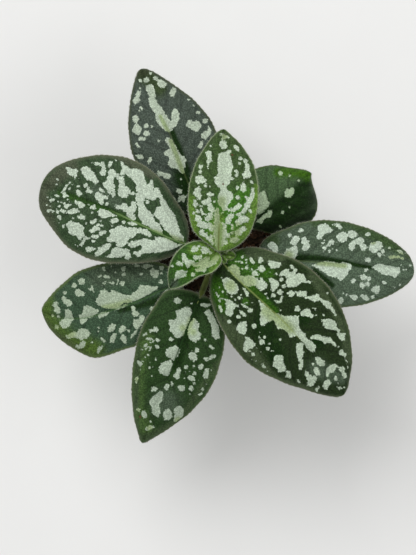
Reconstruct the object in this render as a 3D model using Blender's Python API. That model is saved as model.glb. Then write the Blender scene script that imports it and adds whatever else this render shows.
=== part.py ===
"""Potted michaelmoelleria: a flat rosette of blotched leaves on a short stem, in a small black nursery pot.

Metres, +Z up.  The origin is the centre of the pot's underside, and +Y points to the back of the rosette.
Each leaf is laid out on its own chord, the straight line from the base of its blade to its tip.
"""
import math
import random

import bmesh
import bpy
from mathutils import Vector

MM = 0.001

# Pot, a turned plastic cup with a rim band and drainage holes
POT_HEIGHT = 56 * MM
POT_FOOT_RADIUS = 21.5 * MM
POT_MOUTH_RADIUS = 29 * MM
POT_WALL = 1.3 * MM
POT_FLOOR = 1.8 * MM
RIM_BAND_HEIGHT = 8 * MM
RIM_BAND_STEP = 1.8 * MM
FOOT_CHAMFER = 1.2 * MM
ROUND_SIDES = 48
DRAIN_HOLES = 6
DRAIN_RADIUS = 3 * MM
DRAIN_CIRCLE = 14 * MM
DRAIN_SIDES = 16
LIP = 0.5 * MM

# Potting mix
SOIL_LEVEL = 49 * MM
SOIL_RELIEF = 1.3 * MM
SOIL_RINGS = 6
SOIL_SIDES = 32

# Stem
STEM_RADIUS = 2.6 * MM
STEM_FOOT = 30 * MM
STEM_TOP = 80 * MM
STEM_SIDES = 12
STEM_STEPS = 20
STEM_DOME_STEPS = 3
STEM_NODE_SWELL = 0.25 * MM
STEM_NODE_SPACING = 7.5 * MM

# Leaves
GAP = 0.3 * MM
BLADE_THICKNESS = 0.8 * MM
BLADE_ROWS = 16
BLADE_COLUMNS = 8
BLADE_QUILT = 1.1 * MM
MARGIN_WAVE = 0.5 * MM
MARGIN_WAVES = 3
PETIOLE_RADIUS = 1.15 * MM
YOUNG_PETIOLE_RADIUS = 0.85 * MM
RIB_END_RADIUS = 0.32 * MM
RIB_SINK = 0.35
RIB_START = 0.03
RIB_REACH = 0.88
RIB_STEPS = 8
PETIOLE_PULL = 0.4
PETIOLE_STEPS = 7
TUBE_SIDES = 6
UPRIGHT_SLOPE = 0.2

# One row for each leaf, in millimetres.
# base and tip: plan position of the two ends of the chord.
# heights: of the blade's base, of the point that bends its arch, and of its tip.
# left, right: half widths from the chord, counterclockwise side first, at seven stations of which the
# first and last lie near the ends: station i is at (1 - cos(i * 22.5 degrees)) / 2 of the chord.
# middle: how far the midrib stands to the left of the chord, at the base, the seven stations and the tip.
# drops: how far the left and the right margin hang below the midrib.
# lobe: how far the round lobes at the base reach back behind it.
# root: where the petiole meets the stem, as its angle round the stem and its height,
# or None for the young leaves, which stand on top of the stem at the place given by crown.
LEAVES = {
    "leaf_back_left": dict(
        base=(-6.5, 13.7), tip=(-28.7, 70.2), heights=(70, 74, 60),
        left=(4.0, 9.2, 13.8, 15.5, 13.0, 8.2, 3.8), right=(4.5, 10.5, 15.4, 16.8, 13.4, 7.6, 2.8),
        middle=(0, 0, 0, 0, -0.4, 0, 0.5, 0.8, 0.9), drops=(2.5, 2.5), lobe=0.5, root=(115, 57)),
    "leaf_left": dict(
        base=(-12.1, 3.4), tip=(-67.0, 23.2), heights=(80, 85, 72),
        left=(4.8, 10.0, 14.4, 17.4, 16.4, 11.0, 5.8), right=(7.0, 13.0, 19.5, 22.2, 20.2, 15.3, 9.5),
        middle=(0.3, 0.4, 0.2, -0.7, -1.7, -1.8, -2.0, -2.2, -2.2), drops=(2.0, 2.0), lobe=0.4, root=(162, 69)),
    "leaf_front_left": dict(
        base=(-14.0, -11.8), tip=(-67.1, -22.2), heights=(72, 75, 60),
        left=(8.0, 14.5, 18.6, 20.2, 21.0, 15.0, 7.8), right=(5.5, 10.0, 12.3, 13.0, 11.9, 7.4, 3.2),
        middle=(0, 0.2, 1.0, 3.2, 4.6, 5.6, 4.2, 1.6, 0), drops=(2.5, 2.5), lobe=0.6, root=(218, 61)),
    "leaf_front": dict(
        base=(-8.0, -17.1), tip=(-29.0, -72.4), heights=(76, 78, 59),
        left=(9.5, 14.2, 16.5, 16.6, 13.0, 7.2, 2.5), right=(10.8, 13.6, 15.3, 14.0, 10.8, 6.5, 2.2),
        middle=(1.0, 0.8, 0.6, 0.5, 0.5, 0.3, 0.2, 0.1, 0), drops=(2.5, 2.5), lobe=2.0, root=(246, 65)),
    "leaf_front_right": dict(
        base=(0.5, -5.1), tip=(45.5, -54.5), heights=(81, 87, 72),
        left=(12.0, 18.0, 23.2, 24.3, 21.2, 14.6, 7.0), right=(6.5, 12.0, 15.6, 16.5, 12.4, 6.6, 1.9),
        middle=(1.5, 1.5, 1.7, 2.7, 3.6, 3.4, 3.0, 2.2, 1.8), drops=(2.0, 2.5), lobe=1.0, root=(276, 74.5)),
    "leaf_right": dict(
        base=(14.8, -2.1), tip=(74.3, -7.0), heights=(73, 78, 62),
        left=(7.0, 11.2, 15.3, 16.2, 14.3, 10.3, 5.5), right=(5.5, 10.8, 15.0, 16.0, 14.0, 9.8, 5.0),
        middle=(0, 0.2, 0.3, 0.2, 0.3, 0.4, 0.4, 0.2, -0.5), drops=(2.5, 2.5), lobe=0.5, root=(352, 62)),
    "leaf_back_right": dict(
        base=(7.4, 8.6), tip=(35.6, 30.6), heights=(68, 71, 55),
        left=(4.0, 8.0, 12.2, 14.2, 11.8, 6.5, 2.5), right=(1.6, 3.8, 10.5, 13.8, 14.3, 10.8, 2.2),
        middle=(0, 0, 0, -0.2, -0.5, -0.5, 0, 0, 0), drops=(1.5, 7.0), lobe=0, root=(49, 59)),
    "leaf_young_back": dict(
        base=(0.1, 0.6), tip=(2.3, 44.8), heights=(85.5, 95, 88),
        left=(3.2, 9.3, 11.8, 12.0, 10.2, 6.7, 3.2), right=(6.0, 10.6, 12.9, 13.2, 11.4, 7.0, 1.9),
        middle=(0, 0.2, 0.4, 0.2, -0.3, -0.3, 0, 0.3, 0.5), drops=(0.5, 0.5), lobe=0.3, root=None,
        crown=(0.3, 1.4)),
    "leaf_young_front": dict(
        base=(-1.1, 0.3), tip=(-17.6, -13.6), heights=(82.2, 89.5, 85),
        left=(3.8, 5.0, 4.9, 3.1, 2.5, 1.7, 0.6), right=(4.7, 7.4, 8.9, 9.0, 7.6, 5.3, 2.3),
        middle=(0, 0.2, 0, -0.6, -1.0, -1.0, -0.8, -0.5, -0.3), drops=(-3.5, 1.0), lobe=0.8, root=None,
        crown=(-1.3, -0.7)),
    "leaf_young_right": dict(
        base=(3.8, -1.1), tip=(15.4, -4.2), heights=(77.5, 79, 76.5),
        left=(1.4, 2.6, 3.3, 3.5, 3.2, 2.3, 1.0), right=(1.4, 2.6, 3.4, 3.8, 3.3, 2.3, 1.0),
        middle=(0, 0, 0, 0, 0, 0, 0, 0, 0), drops=(0.3, 0.6), lobe=0.2, root=(345, 74.5)),
}

PLASTIC_BLACK = (0.012, 0.012, 0.013, 1)
MIX_BROWN = (0.035, 0.022, 0.014, 1)
STEM_GREEN = (0.06, 0.075, 0.025, 1)
LEAF_GREEN = (0.055, 0.095, 0.045, 1)
YOUNG_GREEN = (0.11, 0.2, 0.06, 1)


def clear_scene():
    for thing in list(bpy.data.objects):
        bpy.data.objects.remove(thing, do_unlink=True)


def material(name, colour, roughness):
    made = bpy.data.materials.new(name)
    made.use_nodes = True
    shader = made.node_tree.nodes["Principled BSDF"]
    shader.inputs["Base Color"].default_value = colour
    shader.inputs["Roughness"].default_value = roughness
    shader.inputs["Metallic"].default_value = 0
    return made


def add_object(name, mesh, finish):
    mesh.materials.append(finish)
    made = bpy.data.objects.new(name, mesh)
    bpy.context.scene.collection.objects.link(made)
    return made


def smooth(mesh, sharp_degrees):
    mesh.shade_smooth()
    mesh.set_sharp_from_angle(angle=math.radians(sharp_degrees))


def finished_mesh(name, shape):
    """Turn a bmesh into a mesh whose faces point out."""
    bmesh.ops.recalc_face_normals(shape, faces=shape.faces)
    mesh = bpy.data.meshes.new(name)
    shape.to_mesh(mesh)
    shape.free()
    return mesh


def mesh_from_rings(name, rings, first_cap, last_cap):
    """Skin a list of rings of points and close each end with a fan to one point."""
    shape = bmesh.new()
    loops = [[shape.verts.new(point) for point in ring] for ring in rings]
    sides = len(rings[0])
    for lower, upper in zip(loops, loops[1:]):
        for i in range(sides):
            j = (i + 1) % sides
            shape.faces.new((lower[i], lower[j], upper[j], upper[i]))
    for cap, loop in ((first_cap, loops[0]), (last_cap, loops[-1])):
        centre = shape.verts.new(cap)
        for i in range(sides):
            shape.faces.new((centre, loop[i], loop[(i + 1) % sides]))
    return finished_mesh(name, shape)


def add_guide(name, mesh):
    """An object that a Boolean reads and that isn't part of the model."""
    guide = bpy.data.objects.new(name, mesh)
    bpy.context.scene.collection.objects.link(guide)
    guide.hide_render = True
    guide.display_type = "WIRE"
    return guide


def add_boolean(thing, operation, other):
    modifier = thing.modifiers.new(operation.lower(), "BOOLEAN")
    modifier.operation = operation
    modifier.solver = "EXACT"
    modifier.object = other


def circle(radius, height, sides):
    return [
        Vector((radius * math.cos(2 * math.pi * i / sides), radius * math.sin(2 * math.pi * i / sides), height))
        for i in range(sides)
    ]


def pot_inner_radius(height):
    """Radius of the pot's inside at a height above the ground."""
    return POT_FOOT_RADIUS - POT_WALL + (POT_MOUTH_RADIUS - POT_FOOT_RADIUS) * height / POT_HEIGHT


def make_pot():
    band_foot = POT_HEIGHT - RIM_BAND_HEIGHT
    profile = [
        (POT_FOOT_RADIUS - FOOT_CHAMFER, 0),
        (POT_FOOT_RADIUS, FOOT_CHAMFER),
        (pot_inner_radius(band_foot) + POT_WALL, band_foot),
        (pot_inner_radius(band_foot) + POT_WALL + RIM_BAND_STEP, band_foot + LIP),
        (POT_MOUTH_RADIUS + RIM_BAND_STEP, POT_HEIGHT - LIP),
        (POT_MOUTH_RADIUS + RIM_BAND_STEP - LIP, POT_HEIGHT),
        (POT_MOUTH_RADIUS - POT_WALL + LIP, POT_HEIGHT),
        (pot_inner_radius(POT_HEIGHT), POT_HEIGHT - LIP),
        (pot_inner_radius(POT_FLOOR), POT_FLOOR),
    ]
    rings = [circle(radius, height, ROUND_SIDES) for radius, height in profile]
    mesh = mesh_from_rings("pot", rings, (0, 0, 0), (0, 0, POT_FLOOR))
    smooth(mesh, 35)
    pot = add_object("pot", mesh, material("black_plastic", PLASTIC_BLACK, 0.5))
    add_boolean(pot, "DIFFERENCE", make_drain_cutter())


def make_drain_cutter():
    """One object with a short round bar through the floor for each drainage hole."""
    shape = bmesh.new()
    for i in range(DRAIN_HOLES):
        angle = 2 * math.pi * (i + 0.5) / DRAIN_HOLES
        bar = bmesh.ops.create_cone(
            shape, cap_ends=True, segments=DRAIN_SIDES, radius1=DRAIN_RADIUS, radius2=DRAIN_RADIUS,
            depth=4 * POT_FLOOR)
        bmesh.ops.translate(
            shape, verts=bar["verts"], vec=(DRAIN_CIRCLE * math.cos(angle), DRAIN_CIRCLE * math.sin(angle), 0))
    return add_guide("drain_cutter", finished_mesh("drain_cutter", shape))


def make_soil():
    """A plug that fills the pot, crumbly on top, with a plain hole that the stem stands in."""
    draw = random.Random(4)
    hole = STEM_RADIUS + STEM_NODE_SWELL + GAP
    foot = POT_FLOOR + GAP
    edge = pot_inner_radius(SOIL_LEVEL) - GAP
    rings = [
        circle(hole, STEM_FOOT - GAP, SOIL_SIDES),
        circle(hole, SOIL_LEVEL, SOIL_SIDES),
    ]
    for i in range(1, SOIL_RINGS):
        ring = circle(hole + (edge - hole) * i / SOIL_RINGS, SOIL_LEVEL, SOIL_SIDES)
        rings.append([point + Vector((0, 0, draw.uniform(-SOIL_RELIEF, SOIL_RELIEF))) for point in ring])
    rings.append(circle(edge, SOIL_LEVEL, SOIL_SIDES))
    rings.append(circle(pot_inner_radius(foot) - GAP, foot, SOIL_SIDES))
    mesh = mesh_from_rings("soil", rings, (0, 0, STEM_FOOT - GAP), (0, 0, foot))
    add_object("soil", mesh, material("potting_mix", MIX_BROWN, 0.95))


def make_stem():
    """A straight stem with a slight swelling at each node and a rounded growing tip."""
    rings = []
    slim_radius = STEM_RADIUS - STEM_NODE_SWELL
    dome_foot = STEM_TOP - slim_radius / 2
    for i in range(STEM_STEPS + 1):
        height = STEM_FOOT + (dome_foot - STEM_FOOT) * i / STEM_STEPS
        swell = STEM_NODE_SWELL * max(0, math.cos(2 * math.pi * height / STEM_NODE_SPACING))
        rings.append(circle(slim_radius + swell, height, STEM_SIDES))
    for i in range(1, STEM_DOME_STEPS + 1):
        rise = math.pi / 2 * i / (STEM_DOME_STEPS + 1)
        height = dome_foot + (STEM_TOP - dome_foot) * math.sin(rise)
        rings.append(circle(slim_radius * math.cos(rise), height, STEM_SIDES))
    mesh = mesh_from_rings("stem", rings, (0, 0, STEM_FOOT), (0, 0, STEM_TOP))
    smooth(mesh, 50)
    add_object("stem", mesh, material("stem_skin", STEM_GREEN, 0.6))


def through(values, place):
    """Read a smooth curve through evenly spaced values, straight on at both ends.  place runs from 0 to 1."""
    padded = [2 * values[0] - values[1], *values, 2 * values[-1] - values[-2]]
    spot = place * (len(values) - 1)
    i = min(int(spot), len(values) - 2)
    f = spot - i
    a, b, c, d = padded[i:i + 4]
    return b + 0.5 * f * (c - a + f * (2 * a - 5 * b + 4 * c - d + f * (3 * (b - c) + d - a)))


class Leaf:
    """The middle surface of one blade, read by place along it (0 base, 1 tip) and across it (-1 to 1)."""

    def __init__(self, row, phase):
        self.base = Vector(row["base"]) * MM
        chord = Vector(row["tip"]) * MM - self.base
        self.length = chord.length
        self.ahead = chord.normalized()
        self.aside = Vector((-self.ahead.y, self.ahead.x))
        middle = row["middle"]
        self.middle = [value * MM for value in middle]
        self.left = [value * MM for value in (middle[0], *row["left"], middle[-1])]
        self.right = [-value * MM for value in (-middle[0], *row["right"], -middle[-1])]
        self.heights = [value * MM for value in row["heights"]]
        self.drops = [value * MM for value in row["drops"]]
        self.lobe = row["lobe"] * MM
        self.phase = phase

    def point(self, place, across):
        along = (1 - math.cos(math.pi * place)) / 2
        reach = abs(across)
        middle = through(self.middle, place)
        margin = through(self.left if across > 0 else self.right, place)
        forward = self.length * along - self.lobe * reach ** 2 * (1 - along) ** 8
        sideways = middle + (margin - middle) * reach
        start, bend, end = self.heights
        height = (1 - along) ** 2 * start + 2 * along * (1 - along) * bend + along ** 2 * end
        breadth = math.sin(math.pi * place) ** 0.7
        drop = self.drops[0] if across > 0 else self.drops[1]
        wave = MARGIN_WAVE * math.sin(2 * math.pi * MARGIN_WAVES * along + self.phase + across)
        height += breadth * (BLADE_QUILT * 4 * (reach - reach ** 2) + (wave - drop) * reach ** 2)
        flat = self.base + self.ahead * forward + self.aside * sideways
        return Vector((flat.x, flat.y, height))


def blade_mesh(name, leaf):
    """A thin closed shell, split into the same triangles on its upper and lower faces."""
    shape = bmesh.new()
    half = Vector((0, 0, BLADE_THICKNESS / 2))
    sheets = []
    for offset in (half, -half):
        rows = [[shape.verts.new(leaf.point(0, 0) + offset)]]
        for j in range(1, BLADE_ROWS):
            place = j / BLADE_ROWS
            across = [2 * i / BLADE_COLUMNS - 1 for i in range(BLADE_COLUMNS + 1)]
            rows.append([shape.verts.new(leaf.point(place, value) + offset) for value in across])
        rows.append([shape.verts.new(leaf.point(1, 0) + offset)])
        sheets.append(rows)
    for rows, flip in zip(sheets, (False, True)):
        for corners in sheet_triangles(rows):
            shape.faces.new(reversed(corners) if flip else corners)
    upper, lower = (sheet_border(rows) for rows in sheets)
    for i in range(len(upper)):
        j = (i + 1) % len(upper)
        shape.faces.new((upper[i], lower[i], lower[j]))
        shape.faces.new((upper[i], lower[j], upper[j]))
    return finished_mesh(name, shape)


def sheet_triangles(rows):
    first, last = rows[0][0], rows[-1][0]
    for i in range(BLADE_COLUMNS):
        yield first, rows[1][i], rows[1][i + 1]
        yield last, rows[-2][i + 1], rows[-2][i]
    for near, far in zip(rows[1:-1], rows[2:-1]):
        for i in range(BLADE_COLUMNS):
            if i < BLADE_COLUMNS / 2:
                yield near[i], far[i], near[i + 1]
                yield near[i + 1], far[i], far[i + 1]
            else:
                yield near[i], far[i], far[i + 1]
                yield near[i], far[i + 1], near[i + 1]


def sheet_border(rows):
    inner = rows[1:-1]
    return [rows[0][0], *(row[-1] for row in inner), rows[-1][0], *(row[0] for row in reversed(inner))]


def rib_path(leaf, row, radius):
    """Centres and radii of the petiole and of the ridge that it runs into under the midrib."""
    rib = []
    for i in range(RIB_STEPS + 1):
        along = RIB_START + (RIB_REACH - RIB_START) * i / RIB_STEPS
        thick = radius + (RIB_END_RADIUS - radius) * i / RIB_STEPS
        place = math.acos(1 - 2 * along) / math.pi
        centre = leaf.point(place, 0) - Vector((0, 0, BLADE_THICKNESS / 2 + RIB_SINK * thick))
        rib.append((centre, thick))
    joint = rib[0][0]
    ahead = (rib[1][0] - joint).normalized()
    if row["root"] is None:
        start = Vector((row["crown"][0] * MM, row["crown"][1] * MM, STEM_TOP + GAP))
        leave = Vector((0, 0, 1))
    else:
        angle, height = math.radians(row["root"][0]), row["root"][1] * MM
        leave = Vector((math.cos(angle), math.sin(angle), 0))
        start = leave * (STEM_RADIUS + GAP) + Vector((0, 0, height))
    pull = (joint - start).length * PETIOLE_PULL
    bends = [start, start + leave * pull, joint - ahead * pull, joint]
    petiole = []
    for i in range(PETIOLE_STEPS):
        f = i / PETIOLE_STEPS
        weights = ((1 - f) ** 3, 3 * f * (1 - f) ** 2, 3 * f ** 2 * (1 - f), f ** 3)
        centre = sum((bend * weight for bend, weight in zip(bends, weights)), Vector())
        petiole.append((centre, radius))
    return petiole + rib


def tube_mesh(name, path):
    """A round tube along a path, its rings kept upright so that they don't twist."""
    rings = []
    for i, (centre, radius) in enumerate(path):
        before = path[max(i - 1, 0)][0]
        after = path[min(i + 1, len(path) - 1)][0]
        ahead = (after - before).normalized()
        steady = Vector((-ahead.y, ahead.x, 0))
        if steady.length < UPRIGHT_SLOPE:
            steady = Vector((1, 0, 0))
        aside = (steady - ahead * steady.dot(ahead)).normalized()
        up = ahead.cross(aside)
        ring = []
        for k in range(TUBE_SIDES):
            turn = 2 * math.pi * k / TUBE_SIDES
            ring.append(centre + (aside * math.cos(turn) + up * math.sin(turn)) * radius)
        rings.append(ring)
    return mesh_from_rings(name, rings, path[0][0], path[-1][0])


def make_leaf(name, row, phase, finish):
    leaf = Leaf(row, phase)
    radius = YOUNG_PETIOLE_RADIUS if "young" in name else PETIOLE_RADIUS
    mesh = blade_mesh(name, leaf)
    smooth(mesh, 40)
    rib = tube_mesh(name + "_rib", rib_path(leaf, row, radius))
    smooth(rib, 40)
    blade = add_object(name, mesh, finish)
    add_boolean(blade, "UNION", add_guide(name + "_rib", rib))


def make_leaves():
    old = material("leaf", LEAF_GREEN, 0.55)
    young = material("young_leaf", YOUNG_GREEN, 0.5)
    draw = random.Random(11)
    for name, row in LEAVES.items():
        phase = draw.uniform(0, 2 * math.pi)
        make_leaf(name, row, phase, young if "young" in name else old)


clear_scene()
make_pot()
make_soil()
make_stem()
make_leaves()
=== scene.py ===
"""Looks of the potted michaelmoelleria: blotched velvety leaves, hairy stem, crumbly mix and a black pot.

Metres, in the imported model's frame.  Leaf sizes and markings are listed in millimetres.
"""
import math
import random
from collections import namedtuple

import bmesh
import bpy
import numpy as np
from mathutils import Matrix, Vector, noise


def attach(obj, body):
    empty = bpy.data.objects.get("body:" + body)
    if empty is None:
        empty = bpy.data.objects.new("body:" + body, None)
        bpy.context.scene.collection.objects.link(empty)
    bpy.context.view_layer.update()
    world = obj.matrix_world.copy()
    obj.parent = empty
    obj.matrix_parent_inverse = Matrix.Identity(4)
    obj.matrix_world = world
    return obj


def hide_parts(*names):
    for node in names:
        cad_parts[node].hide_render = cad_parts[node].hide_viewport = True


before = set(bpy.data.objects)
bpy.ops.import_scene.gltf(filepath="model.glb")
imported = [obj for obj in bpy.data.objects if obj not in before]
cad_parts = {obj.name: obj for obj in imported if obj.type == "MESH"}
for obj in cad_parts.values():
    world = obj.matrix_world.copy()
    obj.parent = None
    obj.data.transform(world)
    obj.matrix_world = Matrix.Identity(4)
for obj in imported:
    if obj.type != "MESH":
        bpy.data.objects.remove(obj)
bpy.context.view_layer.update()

MM = 0.001

# Camera, straight above the rosette as in the photograph
PHOTO_HEIGHT_PX = 555
MM_PER_PX = 0.37
LEAF_LEVEL = 80 * MM
CAMERA_HEIGHT = 780 * MM
CAMERA_X = -3.9 * MM
CAMERA_Y = -9.4 * MM

# Pot
POT_HEIGHT = 56 * MM
POT_FOOT_RADIUS = 21.5 * MM
POT_MOUTH_RADIUS = 29 * MM
POT_WALL = 1.3 * MM
POT_FLOOR = 1.8 * MM
RIM_BAND_HEIGHT = 8 * MM
RIM_BAND_STEP = 1.8 * MM
FOOT_CHAMFER = 1.2 * MM
LIP = 0.5 * MM
CORNER_CUT = 0.3 * MM
CORNER_STEPS = 4
POT_SIDES = 160
DRAIN_HOLES = 6
DRAIN_RADIUS = 3 * MM
DRAIN_CIRCLE = 14 * MM
DRAIN_SIDES = 32

# Potting mix
SOIL_LEVEL = 49 * MM
SOIL_RELIEF = 1.3 * MM
SOIL_FADE = 2 * MM
SOIL_RINGS = 40
SOIL_SIDES = 144

# The relief of the mix: the share and the size of its broad and its fine lumps
SOIL_LUMPS = ((0.7, 5 * MM), (0.5, 1.5 * MM))

# Bits in the mix: their sizes in millimetres, and how flat and narrow they are beside their length
CHIPS = 460
CHIP_SIZES = (0.5, 1.7)
CHIP_STRETCH = ((0.4, 0.8), (0.25, 0.5))
PERLITE_BITS = 45
PERLITE_SIZES = (0.45, 0.9)
PERLITE_STRETCH = (0.9, 0.8)
LUMP_ROUGHNESS = (0.78, 1.12)
LUMP_LIFT = 0.35

# Stem
STEM_RADIUS = 2.6 * MM
STEM_FOOT = 30 * MM
STEM_TOP = 80 * MM
STEM_END_RADIUS = 0.02 * MM
STEM_NODE_SWELL = 0.25 * MM
STEM_NODE_SPACING = 7.5 * MM
STEM_STEPS = 150
STEM_DOME_STEPS = 8
STEM_SIDES = 36

# Clearance between the pieces
GAP = 0.3 * MM

# Blades.  The spacing and the sweep of the veins are shares of the chord.
BLADE_THICKNESS = 0.8 * MM
BLADE_QUILT = 1.1 * MM
MARGIN_WAVE = 0.5 * MM
MARGIN_WAVES = 3
MARGIN_THINNING = 0.6
VEIN_SPACING = 0.135
VEIN_SWEEP = 0.26
VEIN_BEND = 1.15
VEIN_SLANT = 0.7
VEIN_PUFF = 0.34 * MM
FULL_PUFF_LENGTH = 30 * MM
RIB_GROOVE = 0.4 * MM
RIB_GROOVE_WIDTH = 0.9 * MM
RIB_GROOVE_RISE = 3
TOOTH_LENGTH = 1.9 * MM
TOOTH_HEIGHT = 0.28 * MM
TOOTH_UNEVENNESS = 0.35
TOOTH_BEAT = 1.37

# How closely each form keeps to the margin, and the base lobe and the full breadth to the blade's ends
TOOTH_POWER = 12
THINNING_POWER = 6
PUFF_POWER = 4
LOBE_POWER = 8
BREADTH_POWER = 0.7

# The blade's grid
ROW_STEP = 0.42 * MM
ROW_EVENING = 0.3
LEAST_ROWS = 30
COLUMN_STEP = 0.38 * MM
LEAST_COLUMNS = 8

# Petioles and the ridges under the midribs.  A ridge is set deeper by RIB_DEPTH times the groove's depth, and
# by less within 1 / RIB_RISE of the blade's ends.
PETIOLE_RADIUS = 1.15 * MM
YOUNG_PETIOLE_RADIUS = 0.85 * MM
CROWN_PETIOLE_RADIUS = 0.45 * MM
RIB_END_RADIUS = 0.32 * MM
RIB_SINK = 0.35
RIB_START = 0.03
RIB_REACH = 0.88
RIB_DEPTH = 1.2
RIB_RISE = 20
RIB_STEPS = 40
PETIOLE_PULL = 0.4
PETIOLE_STEPS = 24
TUBE_SIDES = 14
UPRIGHT_SLOPE = 0.2

# Texture layout of a leaf in the unit square: left, foot, width and height of the field of its upper face
# and of its stalk's strip, and how far right the lower face lies.  The last two keep a face inside its field,
# lengthwise and across.
UV_FACE = (0.01, 0.16, 0.47, 0.82)
UV_STALK = (0.02, 0.01, 0.96, 0.11)
UV_UNDER_SHIFT = 0.5
UV_SLACK = 1.04
UV_BREADTH = 1.2

# Edges sharper than these angles, in degrees, stay sharp
LEAF_CREASE = 60
STEM_CREASE = 50
POT_CREASE = 40
SOIL_CREASE = 35

# Hairs: how many for each square millimetre of skin or millimetre of margin, their lengths, how far they
# lean, and how deep the roots sit: in hair radii for the margin's, as a share of the radius for a stalk's
FACE_HAIRS = 2.2
UNDER_HAIRS = 1.0
STALK_HAIRS = 1.8
MARGIN_HAIRS = 13
FACE_HAIR = (0.3 * MM, 0.6 * MM)
STALK_HAIR = (0.6 * MM, 1.3 * MM)
MARGIN_HAIR = (0.35 * MM, 0.85 * MM)
FACE_LEAN = 0.3
MARGIN_LEAN = 0.38
STALK_LEAN = 0.25
HAIR_RADIUS = 0.016 * MM
STEEP = 0.9
MARGIN_HAIR_DEPTH = 4
STALK_HAIR_SEAT = 0.97

# How far, in millimetres, the distance to a blotch is followed, and a distance beyond all others
FIELD_REACH = 3.0
FAR = 1e3

# Dots that are tried in a speckled zone, their radii, and how far they keep off a blotch, in millimetres
DOTS_PER_ZONE = 16
DOT_RADII = (0.12, 0.3)
DOT_CLEARANCE = 0.5

# Seeds of what is strewn at random
CHIP_SEED = 21
WAVE_SEED = 11
LEAF_SEED = 5

# One row for each leaf, in millimetres: plan place of both ends of the blade's chord, heights of its base,
# arch and tip, half widths to the left and right of the chord at seven stations, the midrib's place beside
# the chord at nine stations, how far each margin hangs, and the base lobes.  root is where the petiole leaves
# the stem, as a bearing in degrees and a height; a leaf without it rises from the stem's top, at crown.
LEAVES = {
    "leaf_back_left": dict(
        base=(-6.5, 13.7), tip=(-28.7, 70.2), heights=(70, 74, 60),
        left=(4.0, 9.2, 13.8, 15.5, 13.0, 8.2, 3.8), right=(4.5, 10.5, 15.4, 16.8, 13.4, 7.6, 2.8),
        middle=(0, 0, 0, 0, -0.4, 0, 0.5, 0.8, 0.9), drops=(2.5, 2.5), lobe=0.5, root=(115, 57)),
    "leaf_left": dict(
        base=(-12.1, 3.4), tip=(-67.0, 23.2), heights=(80, 85, 72),
        left=(4.8, 10.0, 14.4, 17.4, 16.4, 11.0, 5.8), right=(7.0, 13.0, 19.5, 22.2, 20.2, 15.3, 9.5),
        middle=(0.3, 0.4, 0.2, -0.7, -1.7, -1.8, -2.0, -2.2, -2.2), drops=(2.0, 2.0), lobe=0.4,
        root=(162, 69)),
    "leaf_front_left": dict(
        base=(-14.0, -11.8), tip=(-67.1, -22.2), heights=(72, 75, 60),
        left=(8.0, 14.5, 18.6, 20.2, 21.0, 15.0, 7.8), right=(5.5, 10.0, 12.3, 13.0, 11.9, 7.4, 3.2),
        middle=(0, 0.2, 1.0, 3.2, 4.6, 5.6, 4.2, 1.6, 0), drops=(2.5, 2.5), lobe=0.6, root=(218, 61)),
    "leaf_front": dict(
        base=(-8.0, -17.1), tip=(-29.0, -72.4), heights=(76, 78, 59),
        left=(9.5, 14.2, 16.5, 16.6, 13.0, 7.2, 2.5), right=(10.8, 13.6, 15.3, 14.0, 10.8, 6.5, 2.2),
        middle=(1.0, 0.8, 0.6, 0.5, 0.5, 0.3, 0.2, 0.1, 0), drops=(2.5, 2.5), lobe=2.0, root=(246, 65)),
    "leaf_front_right": dict(
        base=(0.5, -5.1), tip=(45.5, -54.5), heights=(81, 87, 72),
        left=(12.0, 18.0, 23.2, 24.3, 21.2, 14.6, 7.0), right=(6.5, 12.0, 15.6, 16.5, 12.4, 6.6, 1.9),
        middle=(1.5, 1.5, 1.7, 2.7, 3.6, 3.4, 3.0, 2.2, 1.8), drops=(2.0, 2.5), lobe=1.0, root=(276, 74.5)),
    "leaf_right": dict(
        base=(14.8, -2.1), tip=(74.3, -7.0), heights=(73, 78, 62),
        left=(7.0, 11.2, 15.3, 16.2, 14.3, 10.3, 5.5), right=(5.5, 10.8, 15.0, 16.0, 14.0, 9.8, 5.0),
        middle=(0, 0.2, 0.3, 0.2, 0.3, 0.4, 0.4, 0.2, -0.5), drops=(2.5, 2.5), lobe=0.5, root=(352, 62)),
    "leaf_back_right": dict(
        base=(7.4, 8.6), tip=(35.6, 30.6), heights=(68, 71, 55),
        left=(4.0, 8.0, 12.2, 14.2, 11.8, 6.5, 2.5), right=(1.6, 3.8, 10.5, 13.8, 14.3, 10.8, 2.2),
        middle=(0, 0, 0, -0.2, -0.5, -0.5, 0, 0, 0), drops=(1.5, 7.0), lobe=0, root=(49, 59)),
    "leaf_young_back": dict(
        base=(0.1, 0.6), tip=(2.3, 44.8), heights=(85.5, 95, 88),
        left=(3.2, 9.3, 11.8, 12.0, 10.2, 6.7, 3.2), right=(6.0, 10.6, 12.9, 13.2, 11.4, 7.0, 1.9),
        middle=(0, 0.2, 0.4, 0.2, -0.3, -0.3, 0, 0.3, 0.5), drops=(0.5, 0.5), lobe=0.3, root=None,
        crown=(0.3, 1.4)),
    "leaf_young_front": dict(
        base=(-1.1, 0.3), tip=(-17.6, -13.6), heights=(82.2, 89.5, 85),
        left=(3.8, 5.0, 4.9, 3.1, 2.5, 1.7, 0.6), right=(4.7, 7.4, 8.9, 9.0, 7.6, 5.3, 2.3),
        middle=(0, 0.2, 0, -0.6, -1.0, -1.0, -0.8, -0.5, -0.3), drops=(-3.5, 1.0), lobe=0.8, root=None,
        crown=(-1.3, -0.7)),
    "leaf_young_right": dict(
        base=(3.8, -1.1), tip=(15.4, -4.2), heights=(77.5, 79, 76.5),
        left=(1.4, 2.6, 3.3, 3.5, 3.2, 2.3, 1.0), right=(1.4, 2.6, 3.4, 3.8, 3.3, 2.3, 1.0),
        middle=(0, 0, 0, 0, 0, 0, 0, 0, 0), drops=(0.3, 0.6), lobe=0.2, root=(345, 74.5)),
}

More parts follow.
